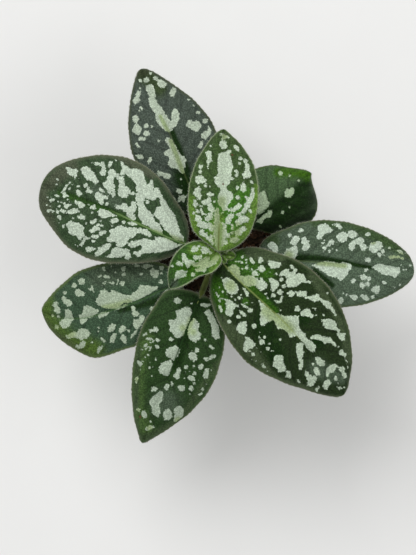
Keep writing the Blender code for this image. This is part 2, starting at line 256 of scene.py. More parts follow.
# Tiny leaves that are opening in the middle of the crown, in the same form
CROWN_LEAVES = {
    "crown_leaf_right": dict(
        base=(1.0, -0.4), tip=(6.2, -1.6), heights=(80.7, 82.4, 82.2),
        left=(0.7, 1.3, 1.7, 1.8, 1.6, 1.2, 0.6), right=(0.8, 1.5, 1.9, 2.0, 1.8, 1.3, 0.7),
        middle=(0, 0, 0, 0, 0, 0, 0, 0, 0), drops=(0.1, 0.2), lobe=0, root=None, crown=(0.7, -0.3)),
    "crown_leaf_front": dict(
        base=(0.7, -1.5), tip=(2.7, -4.1), heights=(80.6, 82.6, 83.0),
        left=(0.5, 0.9, 1.1, 1.2, 1.1, 0.8, 0.4), right=(0.5, 0.9, 1.1, 1.2, 1.1, 0.8, 0.4),
        middle=(0, 0, 0, 0, 0, 0, 0, 0, 0), drops=(-0.8, -0.8), lobe=0, root=None, crown=(0.5, -1.2)),
    "crown_leaf_back": dict(
        base=(1.3, 0.2), tip=(3.9, 1.6), heights=(81.2, 84.0, 84.4),
        left=(0.4, 0.7, 0.9, 0.9, 0.8, 0.6, 0.3), right=(0.4, 0.8, 1.0, 1.0, 0.9, 0.6, 0.3),
        middle=(0, 0, 0, 0, 0, 0, 0, 0, 0), drops=(-0.6, -0.6), lobe=0, root=None, crown=(1.0, 0.1)),
}

# Pale blotches of each leaf, in millimetres on its chord: along from the base, then across to the left.
# Points are joined by commas and a semicolon ends a mark.  Two numbers a point make a closed outline, and
# three make a stroke, the third being its radius.  The first number is the chord's length as read.
BLOTCHES = {
    "leaf_back_left": (59.8, """
    16.3 .3, 17.5 1, 18.8 1.6, 19.7 2.5, 20.6 3.9, 21.8 4.5, 22.9 4.1, 23.4 3.2, 24.7 3.2, 25.6 4.3,
    26.5 4.4, 27 3.2, 27.2 1.6, 28.4 1.7, 30.4 2.1, 31.3 1.9, 31.5 .5, 30.2 -.3, 27.9 -.6, 25.6 -.9,
    23.8 -1.3, 22.9 -2.1, 21.3 -2.4, 19.3 -1.5, 18.6 -.6; 33 -.6, 33.8 .5, 35.2 1.4, 36.8 2.1,
    40.2 2.5, 41.5 1.7, 43.8 2.5, 45.6 2.8, 47.9 2.3, 48.1 1.6, 50.6 1.9, 52.5 1.6, 53.1 .5,
    52.5 -1.1, 50.6 -1.2, 48.8 -.9, 47 -.2, 45.2 -.4, 42.9 -1.1, 40.2 -1.5, 37.9 -2.1, 36.8 -2.4,
    38.4 -3.4, 40.2 -4.3, 41.3 -5.6, 40.2 -6.2, 38.4 -6.5, 36.8 -6.1, 35.4 -5, 34.5 -3.4, 33.8 -2;
    31.6 4.6 .5; 37.5 4.9 .45; 36.8 2.9 .25; 45 7.2 .35; 45 6 .35, 46 6.3 .3; 34.3 9.4 .6,
    35 10.5 .75; 36.5 10.5, 37.5 11.9, 38.6 12.4, 39.7 12, 40.4 10.8, 41.1 9.8, 39.7 9.1, 38.8 8.5,
    37.5 9.1; 42.7 9.5 1.3; 34.5 6.9, 35 8.5, 35.9 9.1, 37 8, 36.5 6.6, 35.2 6.3; 38.5 6.8 .9;
    47.7 8, 48.8 8.2, 50.2 7.5, 50.4 6.4, 51.8 6, 52.5 4.8, 51.5 4.1, 50.4 4.6, 49.5 5.5, 48.4 5.3,
    47.9 6.6; 52.9 3.8 .35; 55.7 2.5 .7; 55 .4 1.1; 56.8 -2 .5; 54.3 -3 .85; 49.6 -4.7, 50.2 -3.4,
    51.8 -2.9, 53.4 -3.8, 53.1 -5, 52 -5.6, 51.1 -6.5, 50.2 -5.9; 45 -6.8, 45.9 -5.7, 47.2 -5.9,
    48.1 -7, 48.8 -8.1, 47.7 -8.9, 46.5 -8.4, 45.9 -7.7; 29.5 -10.2, 30.4 -8.8, 31.8 -8.4, 32.2 -7.5,
    33.1 -7.1, 34.5 -8.4, 35.2 -9.5, 33.6 -10, 33.6 -11.3, 32.7 -12.5, 31.1 -12.7, 30.2 -11.5;
    25.7 -12, 26.3 -11.1, 27.9 -11.1, 28.8 -12.5, 28.7 -14, 30.2 -15, 28.4 -15.4, 27 -14.5;
    22.9 -9.3, 24.3 -8.4, 25.6 -10, 25.9 -11.3, 24.5 -10.6; 32.3 -14.6 1; 36.1 -13.3 .65;
    39.3 -12.7 .35; 42.1 -11.8 .5; 24.6 11.4, 25.9 11.2, 27.1 10.3, 27 9.3, 25.9 9.5, 25 10.5;
    27.5 12.3, 28.4 14.1, 30 14.8, 29.7 13.2, 28.4 11.9; 32.2 12.3 .5, 33.6 12.6 .4; 16.8 6.4,
    17.7 7.5, 18.8 8, 19.3 9.4, 20.6 9.8, 21.5 8.7, 20.6 7.8, 19.7 7.1, 19 5.7, 17.9 5; 10.3 3.7,
    10.9 5.3, 11.8 5.6, 12.5 4.4, 11.5 3.1; 8.2 5.7 .6, 9.3 4.8 .6, 8.6 3.3 .6, 7.7 4.2 .6;
    9.5 7.3 .7; 12.9 2.5 .25; 15.4 2 .35; 8.8 2.1 .3
    """),
    "leaf_left": (57.8, """
        .9 .7, 2.2 2.5, 5.2 5, 7.9 6.6, 10.2 7.5, 12.5 8.5, 13.8 9.6, 14.3 10.8, 15.2 11, 15.9 10.3,
    16.8 10.2, 16.3 9.4, 15.2 8.7, 14.3 8, 14.7 6.6, 15.6 6.4, 16.8 7.8, 17.9 8.8, 19.3 8.2,
    19.5 7.3, 18.8 6.2, 17.5 5.7, 16.1 4.6, 14.7 3.7, 12.9 3.5, 11.1 3.2, 10.6 2.5, 11.3 1.9,
    10.2 1.4, 7.5 .7, 4.7 1.1, 2.5 1.6; 12.5 2.1, 13.8 2.5, 15.2 2.1, 16.5 2.3, 17.9 2.5, 18.1 3.2,
    18.8 4.8, 20.2 5.5, 20.2 7.1, 20.6 8.5, 21.5 9.5, 22.9 9.8, 23.8 9.4, 23.4 8.7, 24.7 8.5,
    26.1 9.4, 27.5 9.1, 27.7 8, 27 7.3, 27.2 6.2, 27.9 5.5, 27.2 4.6, 26.1 3.9, 25.9 2.8, 24.7 2.1,
    23.4 2.1, 21.5 1.9, 19.7 1.2, 18.4 1.2, 17.9 .5, 16.5 .7, 15.2 .3, 13.8 .5, 13.1 1.2; 17.1 12.1,
    17.7 13, 18.8 13.2, 19.5 12.3, 21.1 13.5, 22.9 14.1, 24.7 14.8, 25.9 14.9, 25.4 13.9, 24.5 13,
    24.6 11.6, 23.8 10.3, 22.5 9.8, 21.1 10, 19.7 9.6, 18.4 9.6, 18.1 10.5, 17.2 11; 25.3 10,
    25.9 12.1, 27 13.5, 27.9 15, 28.8 15.5, 29.6 16, 30 14.8, 29.5 13.5, 30 12.5, 28.8 12.1,
    27.9 10.7, 26.5 9.8; 30.2 13.2, 31.1 14.4, 32.5 15.5, 34 14.8, 33.8 13.8, 32.7 13.5, 31.1 13.2;
    35.9 13.9 .55, 35.6 12.3 .45, 35 10.7 .45, 33.6 10.5 .35; 37 14.7 .25; 37.9 14.6 .2; 32 11 .65;
    31.2 8.9 .6, 32.7 9.4 .75; 29.4 6.5 .7, 30.4 7.3 .75; 31.1 6.6, 32.2 6.9, 32.9 8, 34 8.4,
    34.7 7.8, 34 6.6, 33.6 5.5, 32.5 4.9, 31.3 5.5; 30.6 4.4 .35, 32.5 4.8 .4; 32 3.2 .35;
    34 3.5 .65, 34.7 4.6 .75; 36.8 5.7 .4; 27.4 3.1 .4; 35.6 9.8, 36.8 12.1, 37.9 12.3, 38.4 11.2,
    40.2 11.4, 42 11.4, 42.2 10, 43.1 9.6, 43.8 8.5, 43.1 7.1, 42.5 6.4, 41.3 6.9, 39.7 6.6,
    38.4 6.9, 36.8 7.5, 37 8.9, 36.3 9.6; 44.5 9.7 .55; 46.3 9.1 .2; 46.6 7.3 .5, 47.3 6.8 .55;
    42 5.7 .35; 37.5 4.1, 38.6 5, 40.2 5, 40.6 4.1, 39.5 2.8, 38.1 3.2; 40.6 2.5, 42 3.7, 43.4 4.5,
    44.7 4.6, 45 3.5, 43.8 2.8, 42.2 1.7, 41.1 1.9; 45 1.4 .6, 45.9 2.5 .7, 46.5 1.9 .3; 45.9 4.4 .6,
    47 4.4 .6; 48.4 5.3 .5; 50 5.7 .35; 50.9 5.5 .45, 52 6.2 .45; 51.7 4.1 .2; 53.1 4.4 .25;
    48.4 3 .45; 47.2 1.5 .35; 48.4 1.5 .25; 49.4 1.6 .25; 51.3 1.4 .4, 52.2 2.2 .5; 52.5 1.2 .3;
    53.9 1.5 .3; 50.2 -.2 .35, 51.6 -.3 .3; 46.3 -.3 .35; 25.6 .7, 26.3 1.6, 27.9 2.5, 28.7 1.9,
    28.4 1, 27 .3, 26.1 .2; 18.7 -.4, 20.2 .5, 21.5 .8, 22.5 .3, 21.5 -.4, 20 -.7; 23.8 .6 .65;
    26.8 -.9, 27.9 0, 29.7 .5, 31.1 1.6, 32.2 2.1, 33.6 1.4, 34.3 .3, 33.8 -1.1, 32.5 -1.5,
    30.6 -1.3, 28.4 -1.1; 35.9 1.3 .4; 35.1 -.9, 35.6 -.1, 37.5 0, 37.5 -.9, 36.3 -2; 38.3 -1.1 .3;
    39.4 -.4, 40 .8, 41.5 1, 42 .3, 43.4 .2, 43.7 -.9, 42 -1.1, 40.2 -1.1; 47 -1.5 .45, 48.1 -1.1 .5,
    48.4 -2 .5; 49 -2.9 .4, 48.8 -4 .35, 48.4 -5.4 .35; 47.1 -4.3 .6; 52.7 -5.9 .45; 45.1 -8.9 .25;
        .9 -.2, 2.9 .1, 5.2 -.1, 7 -1.1, 8.8 -2, 10.6 -3.1, 12 -4.5, 14.3 -5.6, 14.7 -7.2, 14 -8.8,
    13.1 -10, 14 -11.2, 14.7 -12.3, 15.6 -12.2, 16.2 -10.4, 17.8 -10.8, 18.5 -13, 17.7 -14.2,
    17.3 -15.2, 16.3 -15.8, 15.4 -14.8, 14.3 -13.9, 13 -12.5, 11.6 -11.4, 10.6 -10.5, 9.3 -9.6,
    7.9 -8.9, 6.8 -7.9, 5.9 -6.6, 5 -5.2, 3.9 -4.1, 3.2 -2.7, 1.6 -1.8; 9.2 -.2, 11.1 -.1, 13.4 -.4,
    15 -.9, 17 -1.1, 18.4 -2.2, 19.5 -3.4, 20.2 -5.2, 20.9 -7, 22.2 -8.4, 22.9 -9.7, 23.1 -11.5,
    23.8 -12.5, 24.3 -14.3, 25.6 -15, 27.9 -15.9, 29.7 -16.8, 31.1 -17.9, 32 -19, 32.9 -20.2,
    32 -20.5, 30.6 -19.3, 28.4 -19, 26.5 -19.5, 23.8 -19.5, 22.9 -18.4, 22 -16.8, 20.6 -15.4,
    19.9 -15.9, 20.1 -17.6, 18.9 -17.6, 18.4 -16.1, 17.9 -14.7, 17 -12.9, 16.8 -10.8, 17.9 -10.6,
    19.3 -10.4, 19.6 -9.2, 18.9 -7.9, 17.9 -7, 16.1 -6.3, 14.7 -5.4, 13.4 -3.8, 11.5 -3.1, 10 -2;
    18.2 -9.3 .7; 20.1 -1.8, 21.1 -1.3, 22.9 -1.3, 23.8 -2, 24 -3.1, 25.6 -3.4, 26.8 -3.8, 27.7 -2.9,
    28.7 -3.4, 28.8 -4.5, 27.5 -4.5, 26.3 -6.1, 25.2 -5.9, 23.8 -5, 23.4 -6.1, 23.8 -7.5, 22.9 -8.1,
    21.8 -7, 21.1 -5.4, 21.4 -3.8, 20.6 -2.9; 24.3 -10.6 .65; 25.3 -10.2, 25.9 -8.4, 27 -7.7,
    28.4 -7.7, 29.5 -8.6, 30 -10.6, 30.2 -12.5, 31.3 -13.6, 32.5 -14.3, 32.7 -12.9, 32.2 -11.5,
    31.3 -11.1, 31.5 -10.2, 32.2 -9.5, 31.8 -7.9, 32.5 -7, 33.1 -7.7, 33.6 -8.8, 35 -9, 35.9 -10,
    35.6 -11.1, 35 -12, 35.2 -13.8, 35.9 -15, 35.2 -16.3, 33.8 -16.5, 32.5 -15.6, 31.1 -15,
    29.7 -15.2, 28.8 -13.6, 27.9 -12.2, 26.5 -12, 25.6 -11.3; 29.7 -15.6, 31 -15.5, 31.4 -17,
    31.3 -18.5, 30.5 -19, 29.8 -17.8; 30.7 -7.4 .7, 31.3 -9 .7; 32.2 -5.6, 32.9 -5, 34 -5, 33.1 -3.4,
    33.6 -2.5, 35 -3.1, 36.3 -3.8, 37.5 -5.6, 36.8 -6.8, 35.2 -6.5, 33.8 -6.3, 32.7 -6.5;
    34.9 -7.4 .55, 36.2 -8 .55; 31.9 -3.7 .6; 39 -5.9 .5, 40.2 -5.9 .8; 40.5 -6.9 .5; 41.8 -7.5 .8;
    41.5 -3.8, 42.7 -2.9, 43.6 -3.1, 44.5 -4.3, 43.8 -5.1, 42.5 -4.5; 44.3 -6.3 .55; 37.5 -10,
    38.4 -8.9, 39.7 -9.5, 41.3 -9.7, 42.5 -9.7, 43.8 -10.6, 45.4 -12, 45.6 -13.1, 44.3 -14.2,
    42.5 -14.2, 41.1 -13.1, 39.5 -12.2, 38.6 -11.1; 46.1 -9.7, 46.5 -8.1, 47.2 -9.3, 49 -9, 50.2 -10,
    51.3 -11.6, 49.7 -11.8, 48.4 -11.5, 47 -12.6, 46.3 -11.5, 46.5 -10.6; 36.1 -13.8, 36.8 -12.9,
    38.1 -12.9, 38.8 -14, 38.1 -14.7, 38.4 -15.9, 39.7 -16.3, 39.5 -17.5, 38.4 -18, 37.5 -16.8,
    36.8 -15.6; 40.9 -16.5 .7; 42.7 -16 .3; 35.9 -17.2 .55, 36 -18.4 .6; 34.5 -20 .3
    """),
    "leaf_front_left": (53.2, """
    8.3 -.6, 9.3 .5, 11.5 1.2, 13.8 1.9, 16.1 2.5, 19.3 3.2, 22 3, 23.8 3.7, 25.4 4.4, 27.9 3.9,
    29.7 3.2, 31.1 2.1, 32.2 .7, 31.5 -.9, 30.4 -2, 29.7 -3.4, 27.9 -3.4, 26.5 -1.8, 25.4 -2.9,
    24.3 -2.2, 22.9 -1.1, 21.1 0, 19.3 .4, 17 -.4, 15.6 -1.3, 15 -2.4, 12.9 -2.2, 11.1 -1.3, 9.5 -.9;
    21.1 3.7 .35, 23.8 4.4 .4, 25.6 4.7 .35; 28.1 5.3, 29 6.4, 30.6 6.3, 31.8 6.9, 32.7 6, 32 5,
    30.2 4.7; 31.6 3.9, 32.9 5, 34.7 6, 37.5 5.7, 39.5 5.7, 39.5 4.1, 37.9 3.9, 37.5 2.8, 36.8 1.2,
    35.2 1.2, 33.8 2.3; 36.8 6.4, 37.5 7.3, 39 7.8, 39.7 6.9, 39 5.7, 37.5 5.7; 12.2 7.1 .9;
    15.4 9.4, 16.1 10.7, 17 11.9, 17.9 13.4, 19.7 13, 20 11.2, 19.5 9.6, 17.9 10, 16.8 8.5, 15.9 8.5;
    17.2 7.8, 17.9 8.7, 19.5 8.5, 19.8 7.3, 19.3 6.2, 19.8 5, 18.8 4.6, 18.1 5.5, 18.4 6.6, 17.5 7.1;
    19.3 14.1 .45, 20.9 15.3 .55, 21.8 16 .4; 22.1 13.4 .5; 23.4 15.3, 23.6 16.9, 24.2 18.2, 25 17.8,
    25.2 16.9, 26 15.7, 25.4 14.6, 24.3 14.4; 23 12.3, 23.8 13.2, 25.2 13.9, 25.9 13.2, 25.4 11.9,
    24.3 10.6, 23.4 11.2; 26.9 13.9, 27.7 15.5, 28.4 16.9, 29.9 16.4, 29.7 15, 29 13.9, 27.9 13.4;
    26.5 10.3, 27.2 11.9, 28.4 12.5, 29.7 12.3, 29.6 11, 28.6 9.8, 27.5 9.6; 31.8 15.5 .6,
    32.8 14.4 .5; 32.8 17.1, 33.4 18.2, 34.5 19.6, 35.7 19.8, 35.4 18.5, 34.3 17.1; 36.5 15.1 .35;
    32.8 10 .4; 33.3 11.5 .25; 38.8 14.6, 39.5 16, 40.9 16.6, 42 16.9, 43.1 15.7, 42.5 14.8,
    41.8 15.5, 40.9 14.4, 39.5 14.1; 36.3 11.4, 37 12.8, 38.8 13.5, 40.6 13.5, 41.8 12.3, 43.4 12.3,
    45.9 11.9, 45.9 10.7, 44.3 10.5, 42.5 9.8, 41.5 10.5, 40.2 9.1, 38.8 9.4, 37.5 10; 41.5 5.5,
    42.7 6, 43.6 7.3, 45 8, 46.3 7.8, 47.2 6.4, 47.2 5.3, 46.1 4.6, 45 4.6, 44.5 3, 44.3 1.2, 43.1 1,
    42 2.1, 41.8 3.9; 48.5 7 .8; 47.1 3.1 .55; 49.4 2.5 .4; 45.9 .7, 46.3 2.1, 47.7 2.2, 48.3 .7,
    48.1 -.6, 48.8 -1.5, 47.7 -2.5, 46.3 -2, 46.8 -1.1, 46.1 -.2; 40.9 -.9, 41.5 .2, 43.1 0,
    44.3 -1.5, 44.7 -3.4, 44 -4, 42.7 -2.9, 41.5 -1.8; 35.2 -3.6, 36.1 -2.8, 38.1 -2.7, 39 -3.8,
    39.3 -5.4, 37.9 -5.6, 36.8 -4.5; 34.7 -8.4, 35.2 -6.9, 36.8 -6.9, 37.5 -8.4, 36.3 -9.5,
    35.2 -9.3; 39.1 -7.2 .95; 43.1 -5.2 .65; 32.7 -4.5 .6, 33.6 -4.7 .45; 32.5 -5.5 .35;
    21.1 -4.5 .9; 24.5 -5.2 .65; 22.5 -6.1 .45; 20.2 -7.7 .7; 19.7 -9.7 .9; 25.6 -7.5 .4,
    26.9 -8.4 .5; 28.4 -9 .35, 29.3 -8.5 .4; 27 -11.2 .75; 24 -11.6 .3; 13.7 -6.5 .6; 7.7 -4.7,
    8.4 -3.9, 9.4 -4, 9.5 -5, 10.2 -5.6, 10.3 -7.2, 9.3 -7.9, 8.1 -7, 7.2 -6.5, 7.5 -5.6;
    5.9 -7.2 .85; 6.2 -5.4 .5; 7 -2.2 .75; 8.4 -8.8, 9.5 -8.4, 11.5 -8.1, 12.7 -8.6, 13.1 -9.5,
    12 -10, 10.2 -9.5; 14 -9.7 .5, 15.2 -10.2 .4; 5.6 2.5 1.3
    """),
    "leaf_front": (58.1, """
    2 5.7, 2.9 6.9, 4.7 9.1, 7 11.4, 9.3 12.5, 10.6 13.4, 11.3 13, 11.8 11.6, 11.1 10.3, 9.5 9.6,
    7.7 8.7, 6.1 7.1, 5 5.7, 4 4.4, 2.9 4.8; .5 5.2 .5, 1.2 4.2 .8, 1.7 2.2 .4; 7.2 1.6, 7.9 3,
    8.8 4.6, 10.2 4.5, 10.9 5, 12 6.4, 13.4 6.6, 14.3 5.7, 15.3 5.5, 15.2 3.2, 13.8 1.6, 11.5 .8,
    9.3 .7; 3.9 -2, 4.5 -.6, 5.6 .2, 10.2 .3, 14.3 .2, 15.6 -.6, 16.3 -2.2, 15.4 -3.6, 14.5 -5.6,
    13.1 -5.4, 12.5 -6.8, 10.9 -6.8, 10 -4.7, 8.8 -4.5, 7 -6.3, 6.1 -4.5, 5 -3.4; 2.5 -1.2 .4;
    1.9 -6.8, 2.7 -5.2, 4 -5, 4.7 -6.3, 4 -7.9, 2.7 -7.7; 17.7 6.9 .95; 13.2 8.5 .6; 15 12 .5,
    14.9 10.9 .55; 17.5 13.7 .6, 18.6 12.5 .7; 19.7 11.1 .85; 18.7 5.3, 19.3 7.3, 20.4 8.2, 22.2 7.5,
    21.8 5.7, 20.6 4.4, 19.3 4.6; 22.9 10.4 1; 23.8 7.8 .6; 25 5.4 .8; 26.1 9.1 .8; 24.6 10.8 .25;
    22.4 13.5, 23.8 13.9, 25.9 14.5, 26.8 13.9, 25.9 12.3, 24.5 12.3, 22.9 12.2; 22.8 14.6 .3;
    28.2 9.2 1, 28.3 8.1 .9; 29.8 10.4 .4; 31.7 9.9 1; 27.9 11.4 .25; 28.4 14.5 .25; 30.7 14.2 .6;
    32.2 14.2 .3, 33.1 13.8 .4; 32.9 6.5 1.3; 26.2 3.2, 26.8 4.1, 28.4 3.9, 29.7 4.6, 30.5 3.7,
    30.2 2.5, 29.3 1.7, 28.1 2.5, 26.8 2.1; 32.1 3.5 .3; 32 2.3 .4, 32.9 2.8 .5; 33 1.2, 33.8 2.1,
    35.2 2, 36 1.2, 35 .2, 33.6 .4; 18.7 -1.1, 19.3 .5, 21.1 1.3, 22.9 .7, 24.4 .2, 24.2 -1.8,
    23.4 -3.6, 21.8 -4, 20.2 -3.1; 24.6 -1.1, 25.4 .3, 27.9 .6, 30.2 .5, 30.9 -.6, 30.6 -3.4,
    28.8 -4, 27 -3.8, 25.9 -2.7; 17.4 -3.5 .85; 39.2 8.2, 40 9.8, 41.5 10.7, 42.9 10.8, 45 9.8,
    46.1 8.7, 45.2 7.8, 43.4 7.5, 41.5 6.7, 40.2 7.3; 41.8 4.6, 42.5 6.2, 44.3 7.2, 45.9 6.6, 46.5 5,
    45.6 3.7, 43.4 3.5; 36.3 -.4, 37.5 1, 39.7 1.6, 42 .7, 43.4 2.1, 45 2.8, 46.5 2.1, 46.3 .7,
    45.6 -.6, 44.3 -1.1, 43.4 -1.8, 42.5 -2.9, 40.4 -2.9, 38.4 -1.5; 35.7 -2.9, 36.3 -1.5, 37.5 -2.2,
    38.1 -3.4, 37.2 -4.3, 36.1 -3.8; 45.8 -3.4, 46.8 -2, 48.1 -1.8, 48.8 -2.7, 47.7 -4, 46.5 -4.3;
    46.5 -5.8 .8; 49.1 0 .5; 50.6 2 .45, 51.5 .7 .9, 52.2 -.2 .7; 19.4 -8.1 .75; 21.8 -7.4 .85;
    26.3 -6.2 .45; 28.1 -7.9 .35; 30 -7.5 .4; 20.3 -9.5 .5; 22.8 -9.6 .6; 25.9 -9.5 .4; 20 -10.6 .55,
    20.4 -12 .5; 22.4 -11.5 .45, 23.4 -12 .35; 24.2 -11.1 .3; 24.8 -12.3 .4; 18.8 -12.9 .5,
    19.5 -13.6 .45; 27 -10.3 .3; 14.7 -10.2, 15.9 -9.3, 17 -9.5, 17.2 -10.9, 17.9 -12, 17.2 -12.7,
    16.3 -11.5, 15.4 -11.1; 28.9 -11.5, 29.7 -10.3, 31 -10.6, 30.4 -12.2, 29.3 -12.6; 35.4 -10.3 .6,
    36.8 -10.3 .6; 32 -10.3 .25
    """),
    "leaf_front_right": (66, """
    2.2 1.3, 2.4 3.6, 3 4.5, 5.2 4.8, 6.3 4.2, 7.6 3.3, 8.8 4.2, 10 6.3, 12 7.2, 13.2 7, 14.2 8.3,
    16.8 8.3, 17.5 7, 17 5.6, 16.8 4.7, 14.5 4.6, 13.4 3.9, 12.8 2.6, 11 1.7, 7 1.2; 4.4 -1.4,
    5.6 -.4, 7.7 0, 9.9 -.1, 11 -1, 11.5 -2.9, 10.6 -4, 9 -4.6, 7.2 -4.2, 5.6 -3.9, 4.4 -2.9; 11 .9,
    12.6 1.3, 14.4 1.1, 15.2 .2, 14.6 -.4, 13 .2, 11.6 .4; 13.3 -2.8 .6; 14.3 -1.8 .3; 16.6 -1.8 .5;
    15 -3.8, 16 -2.9, 17.7 -2.6, 17.9 -3.3, 16.8 -3.9; 19.3 -2.7 .95; 11.2 -4.4 .4; 17.7 -.4 .25;
    13 -1.5 .25; 10.2 -7, 11.1 -5.9, 12.5 -5.4, 13.8 -5.4, 15 -4.5, 16.1 -5, 14.8 -6.3, 15.3 -7.4,
    16.2 -8.3, 16.2 -9.8, 15 -10.7, 13.7 -10.2, 13.2 -8.9, 11.8 -8.1; 17.6 -5.7 .7, 19 -5.5 .7;
    18.2 -7.6 .7; 11 -10.3 .6, 12.5 -10.8 .5; 17.3 -11.3 .8; 9.3 -8.8 .6; 5.6 -5.6 .35; 7.7 -5.7 .4;
    6.4 -7.8 .4, 7.7 -7.9 .4; 9.4 -7.6 .3; 20.2 -11.1, 20.1 -8.4, 21.3 -6.5, 22.5 -7.6, 23.8 -8.2,
    24.5 -9.8, 24 -11, 22.4 -11.6; 24.6 -5.6 .95; 27.5 -5.6 .25; 30.1 -5.5 .65; 33 -5.9 .45;
    28.7 -7 .4; 30.7 -7.5 1.1; 34.1 -7.6 .85; 34.5 -1.8 .55; 33.5 -2.7 .4; 25 -10.6, 26.8 -9.7,
    29.7 -9.7, 30.4 -11.3, 29.5 -12.5, 30 -14.3, 28.4 -14.8, 27.2 -13.4, 26.3 -11.5; 30.4 -13.1 .35;
    32.1 -12.9 .85; 33.1 -14.7 .3; 34.5 -14 .25; 37.2 -13 .45, 38.3 -13.1 .6; 37.5 -7.5, 38.4 -5.9,
    40 -5, 40.9 -6.1, 42.9 -7, 44.3 -7.9, 44.3 -9, 43.4 -10.6, 42 -9.7, 40 -10.6, 38.8 -9; 44.5 -7.7,
    45.6 -6.8, 47.7 -8.1, 47.8 -8.7, 46.3 -9.8, 45.6 -8.8; 50.2 -7.4 .4, 51.2 -7.2 .5; 18.8 2,
    21 2.6, 25.6 2.9, 27 4.1, 29.3 5.3, 30.6 6.6, 32 8.5, 32.9 8.9, 33.8 8.2, 35.6 6.6, 37.5 6,
    39.3 6.4, 40.2 5.6, 42.5 6.2, 45.2 6.4, 45.9 5.7, 46.8 4.6, 45.9 3.5, 43.8 3.2, 41 3.7, 37.5 3.5,
    37 1.6, 35.9 1.2, 34.7 1.9, 32.7 1.6, 31.3 .2, 29.7 .5, 27.9 1.2, 27.2 -.2, 26.8 -1.5, 27 -2.9,
    26.1 -3.8, 24.7 -2.9, 22.9 -1.1, 21.1 .7, 19.7 1.4; 39.8 1.6, 40.4 3.1, 41.3 3.1, 44.3 1.2,
    45.2 -.6, 47 -1.5, 48.4 -3.4, 48.1 -4.4, 46.8 -4, 45.6 -2.5, 42.9 -1.1, 40.6 .3; 30.6 10.5 1.1;
    32 11.2, 32.9 13.5, 33.8 13.8, 35 13, 36.3 13.5, 36.8 12.3, 35.6 11.4, 34.5 11, 33.4 9.7,
    32.4 10; 35 15.5 .4; 34 14.8 .25; 38.6 16 .5; 36.9 14 .4; 33.7 22.6 .4; 26.6 5.4 .35; 39.4 14.4,
    40.9 16.6, 42 17.5, 44.3 17.9, 45 17.1, 45.9 16.1, 45 14.8, 43.8 13.9, 42.5 13.2, 40.6 13.7;
    45.6 16.4 .6, 47 16.3 .45, 47.7 15.5 .6; 47.5 15.5, 48.4 17.1, 49.2 17.5, 50.2 16.4, 51.3 16,
    50.6 15, 49.5 14.1; 41.3 7.5, 42 9.4, 44.3 10.5, 45.9 11.6, 46.5 12.5, 48.4 12.1, 49.7 12.5,
    50.4 11.6, 48.4 11, 47.2 9.6, 45.2 9.1, 42.9 7.3, 41.8 6.4; 51.1 12.1 .35; 52.4 11.6, 52.7 12.8,
    54.3 12.5, 55.2 13.1, 56.1 11.2, 55 11.3, 53.6 10.4; 57.2 11 .3; 57.9 10.5 .25; 59.2 9.8 .45;
    54 4.4, 54.3 6.2, 55 7.3, 56.1 7.6, 56.8 6.2, 57 4.8, 56.3 3.7, 56.9 1.9, 56.1 1.6, 55 2.8,
    54.3 3.5; 56.9 7.3, 57.5 8.7, 59 8.5, 59.7 7.5, 60.6 8, 61.8 7.3, 62 6.3, 61.1 5.8, 59.7 6.6,
    58.8 6.7, 57.5 6.6; 59.4 3.8 .85; 61.3 3.1 .3; 61.9 2.1, 62.7 3, 63.8 3.2, 63.5 2.1, 62.5 1.5;
    64 3.9 .3; 48.1 3.2, 48.8 4.4, 50.2 4.6, 51.5 5, 52.5 4.4, 53.1 3.2, 51.5 2.5, 50.4 2, 49.3 2.5;
    49.6 1 .5; 50.7 .7, 51.3 1.5, 52.9 1.2, 54.3 .3, 54 -1.1, 52.5 -.7, 51.1 -.6; 49.4 -2.5,
    50.2 -2.2, 51.5 -2.5, 52.9 -2.2, 53.1 -1.1, 54.3 -1.1, 55.2 -2.9, 55.6 -4.3, 55 -5.6, 54 -6,
    53.1 -5, 51.5 -4.3, 50 -3.8; 57 .7, 57.9 1.6, 59.3 1.4, 59.7 -.2, 60.3 -1.3, 59.7 -2.1, 57.9 -2,
    57.5 -.6; 57.4 -3.1 .4, 57.8 -4.5 .55; 10.2 14.4, 11.5 15.7, 13.1 16.6, 13.8 17.5, 14.7 17.1,
    15 15.5, 14 14.1, 12.9 13, 11.5 13.7; 16.5 14.4, 16.8 16.9, 17.9 18.1, 19 17.1, 19.2 19.4,
    19.5 20.3, 20.4 19.9, 20.6 18.2, 21.3 19.8, 22.9 21, 23.8 20.3, 25.4 20, 26.8 21.2, 27 20.5,
    25.9 19.1, 24.5 18.5, 24.6 17.1, 23.8 14.8, 22.5 13.2, 20.4 13.9, 19.5 15.3, 18.1 14.8,
    17.5 13.5; 17.9 19.4 .75; 18.8 13.5 .85; 16 13.4 .45; 15.7 12.4 .25; 21.2 12.2 .8; 23.5 12.3,
    24 13.5, 25.4 14, 26.1 13, 26 11.6, 25 11.1, 23.8 11.4; 15.1 10, 16.5 11.4, 18.4 12.1, 19.8 11.4,
    20.2 9.8, 19.8 8, 18.8 8, 17.5 9.1, 15.9 9.5; 21.8 9.8 1.1; 21.1 7.3 .85; 23.5 9.1 .5,
    24.3 8 .55, 24 6.9 .5, 22.9 6.4 .4; 21 6.2 .35; 18.8 5.6 .45; 20.3 5 .4; 7 12.8, 8.1 13.5,
    9.3 13.2, 9.5 11.9, 8.8 11, 7.7 11.9; 10.9 10.6 1.35; 5.6 10.2 .5, 7.2 9.9 .65; 10.6 7.5 1.1,
    11.6 8.1 .5; 3.1 8.4 .55; 4.7 8.7 .35; 5.7 7.9 .35; 4.4 6.8 .4; 7.2 6.7 .6; 6.8 7.5 .35;
    8.8 8 .35; 8.8 6.8 .3; 3.4 6.3 .5; 2.7 5.3 .4; 6.3 5.4 .35; 13.4 8.1 .4; 13.7 12.1 .3;
    13.7 11.1 .25; 25.7 14.1, 26.3 15.5, 27.5 16.9, 28.6 17.5, 29 16.4, 29.7 16, 28.4 14.8,
